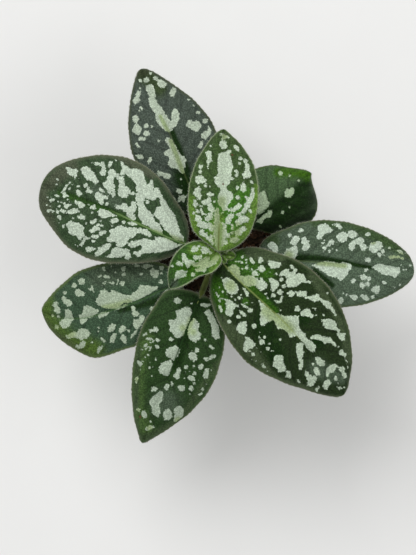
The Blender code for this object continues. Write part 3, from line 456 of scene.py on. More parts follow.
    27.5 13.5, 26.3 13.7; 29 15.3, 30 16.9, 30.6 18.2, 31.5 19.8, 32.2 20.2, 33.1 19.4, 34.7 20,
    35.6 20.5, 37.2 21.2, 38.1 20.4, 40.2 20.5, 40.9 19.8, 41.8 20, 42.5 19.6, 41.8 18.9, 40.2 19.1,
    39 19.4, 37.9 18.7, 35.6 18.5, 33.8 18.7, 33.1 17.1, 32 16.1, 30.6 15.7, 29.3 14.8
    """),
    "leaf_right": (58.7, """
    3.1 4.8, 3.8 6.2, 5 6.6, 6.1 5.7, 7 4.6, 6.8 2.5, 5.6 2.5, 4.7 3.5, 3.9 3.7; 8.6 1.4, 9.5 3,
    10.4 4.4, 12 5, 13.4 5.7, 14 4.8, 14.1 2.5, 13.4 .7, 11.1 .5, 9.3 .7; 11.2 6.6, 11.5 8.2,
    12.9 9.6, 14.3 9.3, 14.6 8, 13.8 6.4, 12.7 5.5; 10.9 9.4 .75; 14.7 11.5 .9; 15.3 7.1, 15.4 8.9,
    16.5 9.6, 17.1 8.5, 18.1 7.8, 18.6 5.7, 17.9 4.6, 16.3 3.9, 15.6 4.6, 16.1 6.2; 20.7 12.5,
    20.9 13.9, 22.2 14.6, 23.8 14.9, 25.2 13.9, 26.5 12.8, 25.9 11.6, 24.3 11, 23.1 10.3, 22.5 8.9,
    21.1 8.8, 20.6 9.8, 21.5 11.2; 26.1 14.7, 27.5 15.5, 29 15.4, 30.1 13.9, 29.5 13, 28.4 13.7,
    27.2 14.5; 27.9 10.3, 28.6 11.6, 30.2 12.5, 31.5 12.2, 32.2 11, 32 9.4, 30.6 8.5, 29.3 8.5,
    28.4 9.4; 31.9 11.6, 32.5 12.8, 34 13.4, 35.2 12.8, 36.1 11.6, 35.4 11, 34.3 10.2, 32.9 10.5;
    39.2 12.2 .6, 40.2 12.4 .65; 32.9 6.2, 32.9 8, 34 9.1, 35.2 10, 36.8 11, 37.9 10.7, 38.4 9.8,
    38.1 8.9, 39.3 8.2, 39.8 6.9, 38.4 5.9, 37.5 6.6, 37 7.8, 36.1 8.5, 35.4 8, 35 6.4, 34 5.4;
    40.4 7.5, 40.9 9.1, 42.5 9.8, 44.3 10.2, 45.4 9.6, 45.6 8, 44.7 6.9, 43.8 6.2, 42.7 5, 41.5 6,
    40.6 6.2; 26.3 8 .95; 25.1 6.9 .6; 23.9 5.7 .75; 25.7 4.6 .5; 28.6 5.3 .3; 45.9 6.4 .7;
    48.4 8 .5; 44.7 5 .8; 46.6 4.9 .4; 48.6 4.3 .55, 49.7 4.5 .7, 51.1 4.7 .4, 52.2 4.9 .5;
    52 7.1 .55, 53.5 6.4 .5; 53.6 4.4 .5; 40.5 2.7 1.05; 56.8 2.1 .4; 19.7 -1.1, 22 0, 23.8 .5,
    25.6 1, 27.9 .7, 29.7 .5, 31.1 1.2, 33.1 .7, 34.3 .3, 34.5 -1.1, 33.6 -2.9, 32.5 -4.5, 30.9 -5.9,
    29.5 -5, 27.5 -4.6, 25.9 -4.2, 23.8 -2.9, 21.5 -2; 42.2 0, 43.4 1.1, 44.7 1.6, 46.5 1.4,
    48.8 1.2, 50.6 1, 53.1 .9, 53.1 -.6, 52.5 -2.2, 51.3 -3.4, 50.2 -2.5, 47.9 -2.5, 46.1 -2,
    44.3 -1.1; 54.5 .2 .3; 55.5 .4 .35; 40 -1.1 .75; 37.7 -3.8, 38.6 -2.9, 39.7 -2.7, 40.5 -3.8,
    40 -5.2, 38.4 -5.1; 41.5 -4.2 .85; 35.7 -5.6 .9; 37.8 -7, 38.6 -5.9, 40 -6.1, 40.2 -7.5,
    39.3 -8.4; 41.1 -6.3 .95; 42.7 -8.4, 43.4 -7.2, 44.5 -6.5, 45.9 -6.8, 46.1 -8.4, 45 -10,
    43.6 -9.3; 47 -5.2 .55, 47.8 -5.6 .5; 51.5 -6.7 .35; 53.5 -5.6 .4; 34.7 -11.2, 35.6 -10.7,
    37.5 -10.9, 38.1 -12, 36.8 -12.9, 35.4 -12.2; 38.8 -11, 39.7 -10.3, 41.3 -10.6, 42.5 -12,
    41.3 -12.7, 40 -12; 43.6 -11.1 .6; 32.2 -10.5 .3; 33.6 -10.9 .35; 30.4 -13.1, 31.8 -11.9,
    32.5 -12.9, 32.6 -14.5, 31.3 -14.5
    """),
    "leaf_back_right": (35, """
    8.8 -.4, 10.2 1.2, 11.3 2.5, 12.5 4.4, 13.8 5.7, 15.2 6, 16.8 5.5, 16.5 4.6, 15.9 3.2, 15.2 1.9,
    15.6 .5, 13.8 -.3, 11.1 -.7; 6.8 -1.8, 10.2 -1.5, 13.4 -1.5, 14.6 -1.9, 13.8 -2.9, 12 -3.8,
    10.2 -2.9, 8.4 -3.6, 7.5 -2.9; 21.1 -1.1, 22.2 .5, 23.8 1.1, 24.5 .3, 25.9 0, 25.9 -1.1,
    24.7 -1.8, 23.8 -2.8, 22 -2.2; 25.4 7.1 .85; 27.8 4.2 .5; 29.3 .7 .45; 16.9 -5 .65; 20.2 -5.2 .4;
    13.1 -8.8 .5
    """),
    "leaf_young_back": (44.2, """
    14.3 -1.1, 15.6 -.2, 16.8 1.2, 19.3 1.2, 21.1 .5, 22.5 .7, 23.4 1.9, 24.7 2.5, 26.1 3, 26.8 1.9,
    27.9 1.7, 30.6 1.9, 32.9 2, 34.7 1.7, 35.4 .7, 35.6 -.6, 36.8 -1.8, 36.3 -2.5, 34.7 -2,
    33.6 -2.5, 32 -3.1, 30.2 -3.5, 28.4 -2.9, 26.1 -2.8, 24.5 -2.5, 23.4 -1.3, 21.5 -1.8, 21.1 -3.4,
    19.7 -4.2, 18.6 -3.6, 17 -2.5, 15.2 -2.2; 36.9 .7, 37.9 1.6, 39.3 1.7, 40 .7, 39.7 -.4, 37.9 -1,
    37 -.2; 40.6 .6 .3, 41.3 -.4 .5, 42.2 1 .5; 41.3 -1.2 .4; 30.9 5.5, 32 6.1, 33.1 5.7, 35 6.4,
    35.9 5.8, 35.6 4.7, 34 4.8, 32 4.3; 23.7 8.5, 24.5 9.7, 26.3 9.6, 26.9 7.8, 25.6 7.1, 25 5.7,
    24.3 6.9; 28 8.2 .55; 30 8.2 .65; 23 6 .5; 29.7 5.4 .2; 18.7 7.8, 18.9 9.4, 20.3 10.3, 21.5 9.6,
    22.8 8.7, 22 7.8, 20.6 8, 19.5 7.3; 15.1 9.4, 16.1 10, 17.7 10.1, 17.5 9.3, 16.3 8.7; 13 9.9 .4;
    13.6 8.5 .5; 13 6.7 .45; 14.3 7.2 .4; 15.4 7 .3; 16.1 6.2, 16.8 7.3, 17.7 6.6, 17.9 5.3, 19 4.6,
    18.8 3.9, 17.5 3.9, 16.5 5; 10.3 4.8, 11.3 5.6, 12 4.8, 13.1 4.4, 13 3, 11.8 3, 10.9 3.9; 13.6 3,
    14.7 4.6, 16.1 4.8, 16.5 3.7, 15.4 2.8, 14.3 2.1; 14.7 1.3 .45; 20 4.9 .3, 20 3.3 .35;
    17.5 2.5 .2; 20.6 4.6 .25; 9.2 7, 10 8.5, 10.2 9.3, 12.2 8.7, 12 7.8, 10.6 6.9; 8.6 8.5, 9.3 8,
    10 6.2, 9.5 4.8, 9.7 3.2, 8.4 2.1, 6.8 2.5, 7 3.7, 8.1 4.4, 7.5 5.7, 8.1 6.9; 4.8 5.4 .45,
    6.1 6.6 .5; 5.6 5 .45; 3.4 3 .5, 5 3.2 .5; 7 .7, 10.2 1.2, 12 1, 12.5 2.1, 13.4 2.3, 13.6 .7,
    12 .4, 9.3 .2; 2 1.1 .4, 6 1.4 .7, 10 1.6 .7, 13 1.2 .5; 2 -1.1 .4, 6 -1.7 .7, 9 -1.5 .6;
    5.6 -3 .7; 2.4 2.4 .5; 4.2 4.2 .7; 6.2 6.6 .8; 8 3 .7; 9.5 -2.9, 10.2 -2, 11.5 -1.8, 12 -2.5,
    13.1 -2.9, 13.4 -4.5, 12.2 -4.7, 11.3 -3.6, 10.2 -3.6; 14.7 -4 .5, 15.4 -5.4 .6, 16.5 -6.5 .6;
    19.5 -5.9 .6; 9.3 -5.9, 10.6 -5.4, 11.5 -6.5, 12.7 -7.2, 12.9 -8.8, 12.2 -10.2, 10.9 -10,
    10.6 -8.4, 9.7 -7.2; 5.6 -5.9, 6.8 -5.6, 7.9 -6.8, 8.6 -7.9, 9 -9, 7.9 -9.6, 7.2 -8.4, 6.1 -7.7;
    2.9 -4.5, 4 -3.8, 4.7 -5, 5 -6.5, 4.3 -7.2, 3.4 -6.1; 6.5 -4.5 .4; 8.1 -4.5 .35; 9.3 -4.4 .35;
    12.8 -5.4, 13.6 -5.9, 13.8 -7.2, 15.6 -8.1, 17.5 -8.8, 18.8 -9.3, 19.5 -10.2, 21.3 -10.6,
    23.1 -10.9, 23.1 -11.5, 21.1 -11.8, 19.5 -11.5, 17.9 -10.9, 16.1 -10, 14.5 -9, 13.6 -7.9,
    13 -6.8; 14.7 -10.7 .6; 21.5 -7.9, 22.2 -6.8, 22.9 -7.2, 23.8 -6.8, 25 -7.7, 23.8 -8.4,
    22.2 -8.9; 22.9 -5.6 .5; 25.3 -10.6 .4; 26.6 -7.9, 27.9 -6.8, 28.4 -7.9, 29.7 -8.1, 30.6 -7.9,
    32.2 -8.4, 32 -9.3, 30.4 -9.4, 28.8 -9.5, 27.7 -10.4, 26.9 -9.5; 32.9 -8 .6; 27.5 -5 .5;
    29 -4.8 .5; 31.8 -5.9 .35; 33.7 -6 .45; 26.1 -3.5 .35; 37 -5.2 .4, 37.9 -4 .45; 37.7 4.8 .3;
    2.5 -1.2 .5; 3 -2.6 .6
    """),
    "leaf_young_front": (21.6, """
    12.9 -1.1, 14.5 -.2, 16.8 -1.1, 18.4 -1.3, 17.3 -2.7, 15.7 -3.5, 13.9 -2.5; 12.3 -4.2, 13.2 -3.8,
    13.7 -5, 14.5 -5.3, 13.4 -6.2, 12.6 -5.6; 8.6 -1.8, 10.5 -2, 11.8 -1.8, 11.6 -2.9, 11.1 -3.8,
    11.4 -5.2, 10.5 -6.3, 10 -7.2, 9.5 -6.5, 9.5 -5.2, 10 -4, 8.9 -2.7; 6.9 2.9, 8.2 3.2, 8.9 2.3,
    10 1.1, 10.2 .4, 9.1 .5, 8 1.9; 11.9 1.3 .6; 1.6 -1.9, 3.4 -1.5, 4.1 -2.6, 3.8 -3.9, 2.7 -4.3,
    1.6 -3.5; 3.5 -5.3 .35; 15.8 -6.1 .3; 4.3 -5, 5.2 -4.3, 6.4 -5, 6.9 -5.6, 5.9 -6.5, 4.8 -6.3;
    5.9 -2 .7; 7.3 -2.9 .7; 1 2.4 .5, 3 2.7 .8, 5.5 2 .9, 7.5 1 .7; 4 .3 .6, 7 -.2 .8, 9.3 -1 .5;
    1.8 -.9 .5
    """),
    "leaf_young_right": (12, """
    6 .8 1.2, 8 1 1.2; 4 -1.2 .6; 9.5 -1 .5
    """),
}

# Zones with many tiny pale dots, as strokes
SPECKLES = {
    "leaf_front_right": "6 8 5, 14 10 4; 6 -6 4, 16 -4 3; 30 -9 4, 40 -10 3",
    "leaf_front_left": "24 -6 4, 30 -7 3",
    "leaf_front": "24 -10 4, 30 -9 3; 24 10 5, 32 8 3",
    "leaf_left": "50 3 4, 46 2 3; 46 -4 3, 50 -4 2",
    "leaf_right": "24 7 3, 28 6 3; 50 5 3, 54 4 2",
    "leaf_young_back": "12 8 3, 22 7 3; 12 -4 4, 20 -6 3",
}

# Where a leaf's colour changes, as soft strokes: along, across, and reach.  In the order of SHADE_KINDS: dark
# green, partly the leaf's own and partly painted shadow; a brighter green; yellow-green; a painted greyish
# sheen where the velvet seems to catch the light; the border's colour; a yellowing of the pale; a soft pale
# green; a small brown spot.
SHADES = {
    # Its dark strokes are partly painted shade: at its base, under the young back leaf, and a shadow line
    # beside the midrib.
    "leaf_back_left": dict(
        deep_and_shade="2 0 9, 16 1 5; 17 -1.5 1.5, 33 -1.5 1.2", fresh="50 -3 3.5, 57 0 4", edge="59 .5 3.5",
        tint="17 .3 1, 30 .3 1; 33 0 1, 40 .5 .8"),
    # Its dark stroke beside the outer midrib is partly the leaf's own green and partly painted shadow along
    # the midrib.
    "leaf_left": dict(
        deep_and_shade="27 -1.6 .9, 50 -2 .8", fresh="1 0 2, 50 -1.8 1.2; 56 -3 2.5", painted_sheen="28 -5 2.2, 38 -7 2.6",
        edge="50 12 4, 57 0 2.5, 50 -12 4; 20 -19 1.5, 35 -22 1.5", tint="2 0 1.5, 12 0 1"),
    "leaf_front_left": dict(
        deep_and_shade="5 4 2.5, 16 5 1.5, 24 5.5 1", painted_sheen="10 -8 5, 30 -9 5",
        fresh="36 18 4, 46 13 5, 53 3 5, 50 -6 3", edge="54 2 2, 51 9 2, 42 17 1.5",
        tint="20 3 1.5, 30 3.5 1.5; 44 10.5 2.5; 48.5 7 1.5; 49.5 2.5 1"),
    "leaf_front": dict(
        deep_and_shade="0 1 3, 18 1 2.5, 26 1.5 2", fresh="20 -12 2.5, 30 -12 3.5, 46 -7 3.5, 53 0 3", painted_sheen="40 3 6",
        edge="20 16 1.6, 45 10 1.2, 57 0 2.5; 25 -14 1.5, 46 -7 1.2",
        tint="8 1 1.5, 14 1 1.5; 12 3 1.5; 12 -1 1.5; 45 9.5 1.5; 51.5 .7 1.5; 46.5 -5.8 1; 36 -10.3 1.5",
        scar="48.8 -4.2 .5"),
    "leaf_front_right": dict(
        deep_and_shade="21 5 3, 28 -4 5; 45 8 3; 35 9.5 3; 26 -2 4, 40 -8 4",
        fresh="2 6 5, 10 8 4; 14 11 3; 12 3 1.6, 26 4.2 1.1; 3 -6 3.5, 12 -9 3; 16 -2 1.6",
        painted_sheen="52 1 4, 60 5 3",
        edge="4 11.5 2.5, 13 18 2.5; 25 22.5 1.6, 45 19 1.6, 58 12 1.6; "
             "15 -13 2.5, 25 -13 3, 45 -13 1.6, 58 -5 1.4",
        tint="2 2.5 3, 12 4 3; 24 1.8 3, 34 3.3 2.5; 8 -2 2.5"),
    # Its second dark stroke is painted shadow, cast by the edge of the front right leaf.
    "leaf_right": dict(
        deep_and_shade="14 1.5 2, 22 1.9 1.4, 31 1.2 1.1, 36 .5 .9, 43 -.2 .7; 21 -3 1.3, 28 -8 1.2",
        painted_sheen="12 8 5, 32 10 5, 44 6 3",
        fresh="20 15 2, 35 13.5 2.5, 45 11 2.5, 52 8.5 3; 5 7 3", edge="56 6 2",
        tint="22 0 1.2, 32 -.3 1; 11 2 2; 50 5.5 3, 54 5 2; 42 9.5 1.2"),
    # Its dark strokes paint shade over the half of the blade that turns away from the light.
    "leaf_back_right": dict(
        deep_and_shade="2 -2.4 3, 34 -2.4 3; 5 -6 4, 28 -7 5; 15 -11 4, 26 -13 3",
        fresh="25 8 2, 31 4 3, 34 0 2.5, 34 -4 1.3, 32 -9 .9"),
    "leaf_young_back": dict(
        lime="0 0 4, 6 1 3.5, 12 .5 2; 2 -3 2.5, 8 -10 2.5, 16 -12.5 2.2, 24 -12.5 1; "
             "2 4 1.5, 6 9 1.8, 18 11 1.6",
        fresh="4 4 6, 14 -3 7; 20 -8 4", edge="36 9 1.6, 43 3 2, 42 -4 2, 36 -8 1.6",
        tint="0 0 3, 10 1 3, 18 0 2; 41.5 0 1.5; 3 -5 3, 9 -6 2", wash="-.5 .3 1.2, 4 .2 1.3, 9 .2 .9",
        scar="24 -.3 .45; 34.8 -3.1 .45"),
    "leaf_young_front": dict(
        fresh="2 0 6, 11 -2 6", lime="1 -2 4, 6 -6 2; 0 2 3, 6 5 1.2", painted_sheen="19.5 -.5 2",
        tint="1 2 3, 10 0 2.5", wash="1 2 .9, 2.5 1.6 .7"),
    "leaf_young_right": dict(lime="2 0 4, 10 0 4", wash="1 0 1.5, 6 .5 1"),
    "crown_leaf_right": dict(lime="1 0 3, 6 0 3", wash="3.4 -.6 .5"),
    "crown_leaf_front": dict(lime="1 0 3, 4 0 3"),
    "crown_leaf_back": dict(lime="1 0 3, 3 0 3"),
}
SHADE_KINDS = ("deep_and_shade", "fresh", "lime", "painted_sheen", "edge", "tint", "wash", "scar")

# Leaves whose petiole takes the young ones' brighter green, as painted light where it lies in shade
STALKS_PAINTED_LIT = ("leaf_front_right",)

# Colours, linear
PALE_TINT = (0.37, 0.475, 0.25)
WASH = (0.25, 0.34, 0.14)
# Dark green: the leaves' own in places, painted shadow in others
DEEP_GREEN_AND_SHADE = (0.008, 0.03, 0.003)
LIME = (0.14, 0.27, 0.042)
# A painted greyish sheen, where the velvet would catch the light
PAINTED_SHEEN = (0.08, 0.12, 0.072)
SCAR = (0.1, 0.035, 0.02)
UNDERSIDE = (0.17, 0.24, 0.11)
UNDERSIDE_DARK = (0.13, 0.18, 0.085)
UNDER_VEIN = (0.26, 0.33, 0.16)
UNDER_RIM = (0.16, 0.19, 0.11)
PETIOLE = (0.072, 0.1, 0.01)
PETIOLE_LIGHT = (0.12, 0.16, 0.024)
# The young stalks' own lime green, lightened further as painted light where they lie in the crown's shade
YOUNG_PETIOLE_PAINTED_LIT = (0.13, 0.21, 0.035)
YOUNG_PETIOLE_PAINTED_LIT_PALER = (0.22, 0.32, 0.09)
HAIR = (0.52, 0.56, 0.46)
HAIR_DARK = (0.34, 0.38, 0.28)
VELVET = (0.16, 0.2, 0.13)
VELVET_DARK = (0.09, 0.12, 0.07)
PLASTIC = (0.011, 0.011, 0.012)
DUSTY_PLASTIC = (0.024, 0.023, 0.021)
MIX_DARK = (0.012, 0.008, 0.005)
MIX_LIGHT = (0.05, 0.03, 0.018)
BARK_DARK = (0.028, 0.014, 0.008)
BARK_LIGHT = (0.11, 0.055, 0.03)
PERLITE_DARK = (0.42, 0.4, 0.36)
PERLITE_LIGHT = (0.66, 0.64, 0.6)
FLOOR_DARK = (0.71, 0.71, 0.7)
FLOOR_LIGHT = (0.73, 0.73, 0.72)

# Sizes of the textures: a leaf's wandering shades, ragged edges, grain and pebbled skin, then the undersides,
# the stalks and the pot
PATCH_SIZE = 3.5 * MM
RAG_SIZE = 1.1 * MM
GRAIN_SIZE = 0.35 * MM
PEBBLE_SIZE = 0.52 * MM
UNDER_SIZE = 2.5 * MM
UNDER_PEBBLE_SIZE = 0.5 * MM
STALK_MOTTLE_SIZE = 1.6 * MM
STALK_PEBBLE_SIZE = 0.5 * MM
DUST_SIZE = 9 * MM
MOULD_WAVE_SIZE = 1.5 * MM

# How far, in millimetres, the rag, a pebble and the grain move a blotch's edge, and half the edge's width
EDGE_RAG = 1.1
EDGE_PEBBLE = 0.36
EDGE_GRAIN = 0.45
EDGE_SOFTNESS = 0.1

# How far a shade's edge wanders, and the weights at which it begins and is full
PATCH_WANDER = 0.45
PATCH_FADE = (0.05, 0.95)
SCAR_FADE = (0.3, 0.7)

# Lines of the veins, the midrib and the rim, in millimetres from their edge to their middle
VEIN_LINE = (0.7, 0.1)
RIB_LINE = (0.5, 0.12)
RIB_WANDER = 0.5
RIM_LINE = (0.45, 0.05)
RIM_WANDER = 0.6
UNDER_VEIN_LINE = (0.5, 0.1)
UNDER_RIB_LINE = (1.2, 0.4)
UNDER_RIM_LINE = (0.6, 0.1)

# The share of the blade over which the midrib's line fades out
RIB_FADE = 0.15

# The strip along the margin: where it is full and how far it wanders, as shares of its width, and the weights
# of lime between which it gives way
BAND_FULL = 0.15
BAND_WANDER = 1.3
LIME_CLEARS_BAND = (0.7, 0.1)

# How strongly each shows, from 0 to 1
VEIN_SHOWS = 0.6
BAND_SHOWS = 0.75
RIM_SHOWS = 0.8
WASH_SHOWS = 0.7

# The pebbled skin: where a pebble's middle ends and its gap begins, as shares of its size, and the
# brightness of green middles and gaps, and of pale gaps
GREEN_PEBBLE = (0.2, 0.65)
GREEN_LEVELS = (1.13, 0.49)
PALE_PEBBLE = (0.25, 0.65)
PALE_LEVEL = 0.68

# Values between which pale pebbles grow dull and the grain dark, and the brightness they and the veins get
DULL_CHANCE = (0.7, 0.1)
DULL_LEVEL = 0.82
DARK_GRAIN = (0.6, 0.3)
GRAIN_LEVEL = 0.8
VEIN_LEVEL = 0.55

# Studio, in metres and watts
FLOOR_SIZE = 6
LIGHTS = {
    "key": dict(place=(-0.5, 0.75, 1.2), size=1.1, power=17),
    "fill": dict(place=(0.9, -0.5, 1.1), size=1.3, power=8),
}
WORLD_STRENGTH = 0.45

# Each leaf's own colours: veiled is its common green, fresh the brighter one, border that of the strip
# along its margin, which is band wide, rim the margin itself, rib the line on its midrib, with its strength
# and its reach up the blade, and pale that of its blotches, which grow past their outlines by grow.
Tones = namedtuple("Tones", "veiled fresh border band rim rib strength reach pale grow")
TONES = {
    "leaf_back_left": Tones(
        veiled=(0.076, 0.101, 0.078), fresh=(0.045, 0.072, 0.026), border=(0.048, 0.064, 0.03), band=1.3,
        rim=(0.11, 0.12, 0.08), rib=(0.11, 0.15, 0.045), strength=0.25, reach=0.7,
        pale=(0.53, 0.62, 0.485), grow=0),
    "leaf_left": Tones(
        veiled=(0.046, 0.084, 0.037), fresh=(0.034, 0.09, 0.016), border=(0.084, 0.103, 0.061), band=1.9,
        rim=(0.14, 0.14, 0.09), rib=(0.15, 0.24, 0.085), strength=0.8, reach=0.55,
        pale=(0.575, 0.675, 0.54), grow=0),
    "leaf_front_left": Tones(
        veiled=(0.052, 0.098, 0.053), fresh=(0.08, 0.146, 0.026), border=(0.084, 0.128, 0.038), band=1.5,
        rim=(0.13, 0.15, 0.085), rib=(0.04, 0.1, 0.02), strength=0.5, reach=0.9,
        pale=(0.445, 0.54, 0.395), grow=0),
    "leaf_front": Tones(
        veiled=(0.026, 0.062, 0.016), fresh=(0.072, 0.138, 0.036), border=(0.056, 0.094, 0.036), band=1.5,
        rim=(0.13, 0.14, 0.085), rib=(0.01, 0.034, 0.006), strength=0.8, reach=0.6,
        pale=(0.47, 0.565, 0.435), grow=-0.05),
    "leaf_front_right": Tones(
        veiled=(0.019, 0.038, 0.01), fresh=(0.038, 0.12, 0.008), border=(0.062, 0.093, 0.041), band=1.5,
        rim=(0.13, 0.135, 0.085), rib=(0.19, 0.245, 0.072), strength=0.65, reach=0.64,
        pale=(0.54, 0.65, 0.495), grow=-0.06),
    # Its common green is its own greyish green, lightened further as a painted sheen
    "leaf_right": Tones(
        veiled=(0.1, 0.148, 0.094), fresh=(0.055, 0.105, 0.034), border=(0.052, 0.085, 0.032), band=1.3,
        rim=(0.13, 0.15, 0.085), rib=(0.1, 0.15, 0.045), strength=0.3, reach=0.6,
        pale=(0.59, 0.7, 0.565), grow=-0.02),
    # Its common green is lightened as a painted sheen, as on the half of the blade that faces the light
    "leaf_back_right": Tones(
        veiled=(0.08, 0.145, 0.06), fresh=(0.055, 0.155, 0.006), border=(0.046, 0.098, 0.018), band=0.9,
        rim=(0.11, 0.12, 0.06), rib=(0.03, 0.07, 0.015), strength=0.3, reach=0.5,
        pale=(0.48, 0.62, 0.4), grow=-0.05),
    "leaf_young_back": Tones(
        veiled=(0.058, 0.108, 0.032), fresh=(0.062, 0.195, 0.018), border=(0.066, 0.112, 0.038), band=0.8,
        rim=(0.24, 0.28, 0.17), rib=(0.11, 0.135, 0.035), strength=0.7, reach=0.3,
        pale=(0.58, 0.69, 0.53), grow=0.16),
    "leaf_young_front": Tones(
        veiled=(0.042, 0.11, 0.022), fresh=(0.042, 0.14, 0.006), border=(0.062, 0.125, 0.036), band=0.6,
        rim=(0.27, 0.32, 0.19), rib=(0.075, 0.11, 0.025), strength=0.4, reach=0.5,
        pale=(0.51, 0.62, 0.46), grow=0.16),
    "leaf_young_right": Tones(
        veiled=(0.045, 0.115, 0.015), fresh=(0.052, 0.15, 0.01), border=(0.07, 0.13, 0.03), band=0.4,
        rim=(0.26, 0.31, 0.18), rib=(0.08, 0.13, 0.03), strength=0.3, reach=0.6,
        pale=(0.51, 0.62, 0.46), grow=0.05),
    # The crown leaflets' lime green, lightened past their own as painted light where they sit in shade
    "crown": Tones(
        veiled=(0.15, 0.29, 0.03), fresh=(0.15, 0.29, 0.03), border=(0.15, 0.27, 0.06), band=0.3,
        rim=(0.26, 0.33, 0.15), rib=(0.11, 0.18, 0.02), strength=0.3, reach=0.6,
        pale=(0.42, 0.54, 0.33), grow=0),
}


def through(values, place):
    """Read a smooth curve through evenly spaced values, straight on at both ends.  place runs from 0 to 1."""
    padded = np.array([2 * values[0] - values[1], *values, 2 * values[-1] - values[-2]])
    spot = place * (len(values) - 1)
    i = np.minimum(spot.astype(int), len(values) - 2)
    f = spot - i
    a, b, c, d = padded[i], padded[i + 1], padded[i + 2], padded[i + 3]
    return b + 0.5 * f * (c - a + f * (2 * a - 5 * b + 4 * c - d + f * (3 * (b - c) + d - a)))


class Leaf:
    """The middle surface of one blade, read by place along it (0 base, 1 tip) and across it (-1 to 1)."""

    def __init__(self, row, phase):
        self.base = np.array(row["base"]) * MM
        chord = np.array(row["tip"]) * MM - self.base
        self.length = float(np.hypot(*chord))
        self.ahead = chord / self.length
        self.aside = np.array((-self.ahead[1], self.ahead[0]))
        middle = row["middle"]
        self.middle = [value * MM for value in middle]
        self.left = [value * MM for value in (middle[0], *row["left"], middle[-1])]
        self.right = [-value * MM for value in (-middle[0], *row["right"], -middle[-1])]
        self.heights = [value * MM for value in row["heights"]]
        self.drops = [value * MM for value in row["drops"]]
        self.lobe = row["lobe"] * MM
        self.phase = phase
        self.fullness = min(1, self.length / FULL_PUFF_LENGTH)

    def layout(self, place, across):
        """Distance ahead and aside on the chord, and half width on that side."""
        along = (1 - np.cos(np.pi * place)) / 2
        reach = np.abs(across)
        middle = through(self.middle, place)
        margin = np.where(across > 0, through(self.left, place), through(self.right, place))
        forward = self.length * along - self.lobe * reach ** 2 * (1 - along) ** LOBE_POWER
        return forward, middle + (margin - middle) * reach, np.abs(margin - middle)

    def height(self, place, across):
        """Height of the middle surface: an arch along the blade, with quilted halves and hanging margins."""
        along = (1 - np.cos(np.pi * place)) / 2
        reach = np.abs(across)
        start, bend, end = self.heights
        arch = (1 - along) ** 2 * start + 2 * along * (1 - along) * bend + along ** 2 * end
        breadth = np.abs(np.sin(np.pi * place)) ** BREADTH_POWER
        drop = np.where(across > 0, self.drops[0], self.drops[1])
        wave = MARGIN_WAVE * np.sin(2 * np.pi * MARGIN_WAVES * along + self.phase + across)
        quilt = BLADE_QUILT * 4 * (reach - reach ** 2) + (wave - drop) * reach ** 2
        return arch + breadth * quilt

    def world(self, forward, sideways, height):
        """Points in the model's frame."""
        flat = self.base + forward[..., None] * self.ahead + sideways[..., None] * self.aside
        return np.concatenate([flat, height[..., None]], axis=-1)

    def middle_point(self, along):
        """The point on the midrib at a share of the chord's length."""
        place = np.array([math.acos(1 - 2 * along) / math.pi])
        forward, sideways, _ = self.layout(place, np.zeros(1))
        return Vector(self.world(forward, sideways, self.height(place, np.zeros(1)))[0])


def read_marks(text):
    """A list of marks, each a list of points of two or three numbers."""
    marks = [mark for mark in text.replace("\n", " ").split(";") if mark.strip()]
    return [[tuple(float(value) for value in point.split()) for point in mark.split(",")] for mark in marks]


def segment_gap(x, y, start, end):
    """Distance to a straight segment, and how far along it the nearest point lies."""
    dx, dy = end[0] - start[0], end[1] - start[1]
    square = dx * dx + dy * dy or 1
    f = np.clip(((x - start[0]) * dx + (y - start[1]) * dy) / square, 0, 1)
    return np.hypot(x - start[0] - f * dx, y - start[1] - f * dy), f


def stroke_distance(x, y, points):
    """Signed distance, in millimetres and positive inside, to a stroke whose radius changes along it."""
    best = np.full(x.shape, -FAR)
    for start, end in zip(points, points[1:] or points):
        gap, f = segment_gap(x, y, start, end)
        best = np.maximum(best, start[2] + f * (end[2] - start[2]) - gap)
    return best


def outline_distance(x, y, corners):
    """Signed distance, in millimetres and positive inside, to a closed outline."""
    inside = np.zeros(x.shape, dtype=bool)
    nearest = np.full(x.shape, FAR)
    for start, end in zip(corners, corners[1:] + corners[:1]):
        nearest = np.minimum(nearest, segment_gap(x, y, start, end)[0])
        crosses = (start[1] > y) != (end[1] > y)
        rise = np.where(crosses, end[1] - start[1], 1)
        inside ^= crosses & (x < start[0] + (y - start[1]) / rise * (end[0] - start[0]))
    return np.where(inside, nearest, -nearest)


def pale_distance(x, y, marks):
    """Signed distance to the nearest of the marks, read only near each one."""
    pale = np.full(x.shape, -FIELD_REACH)
    for points in marks:
        xs = [point[0] for point in points]
        ys = [point[1] for point in points]
        near = (x > min(xs) - FIELD_REACH) & (x < max(xs) + FIELD_REACH)
        near &= (y > min(ys) - FIELD_REACH) & (y < max(ys) + FIELD_REACH)
        measure = outline_distance if len(points[0]) == 2 else stroke_distance
        pale[near] = np.maximum(pale[near], measure(x[near], y[near], points))
    return np.minimum(pale, FIELD_REACH)


def speckle_marks(name, marks, draw):
    """Tiny seeded dots in a leaf's speckled zones, clear of its larger blotches."""
    dots = []
    for zone in read_marks(SPECKLES.get(name, "")):
        start, end = zone[0], zone[-1]
        f = draw.random(DOTS_PER_ZONE)
        x = start[0] + f * (end[0] - start[0]) + draw.uniform(-1, 1, DOTS_PER_ZONE) * start[2]
        y = start[1] + f * (end[1] - start[1]) + draw.uniform(-1, 1, DOTS_PER_ZONE) * start[2]
        clear = pale_distance(x, y, marks) < -DOT_CLEARANCE
        radii = draw.uniform(*DOT_RADII, DOTS_PER_ZONE)
        dots.extend([[dot] for dot in zip(x[clear], y[clear], radii[clear])])
    return dots


def shade_weight(x, y, strokes):
    """1 on the strokes' lines, fading to 0 over about twice their reach."""
    weight = np.zeros(x.shape)
    for points in strokes:
        for start, end in zip(points, points[1:] or points):
            gap, f = segment_gap(x, y, start, end)
            weight = np.maximum(weight, np.exp(-(gap / (start[2] + f * (end[2] - start[2]))) ** 2))
    return weight


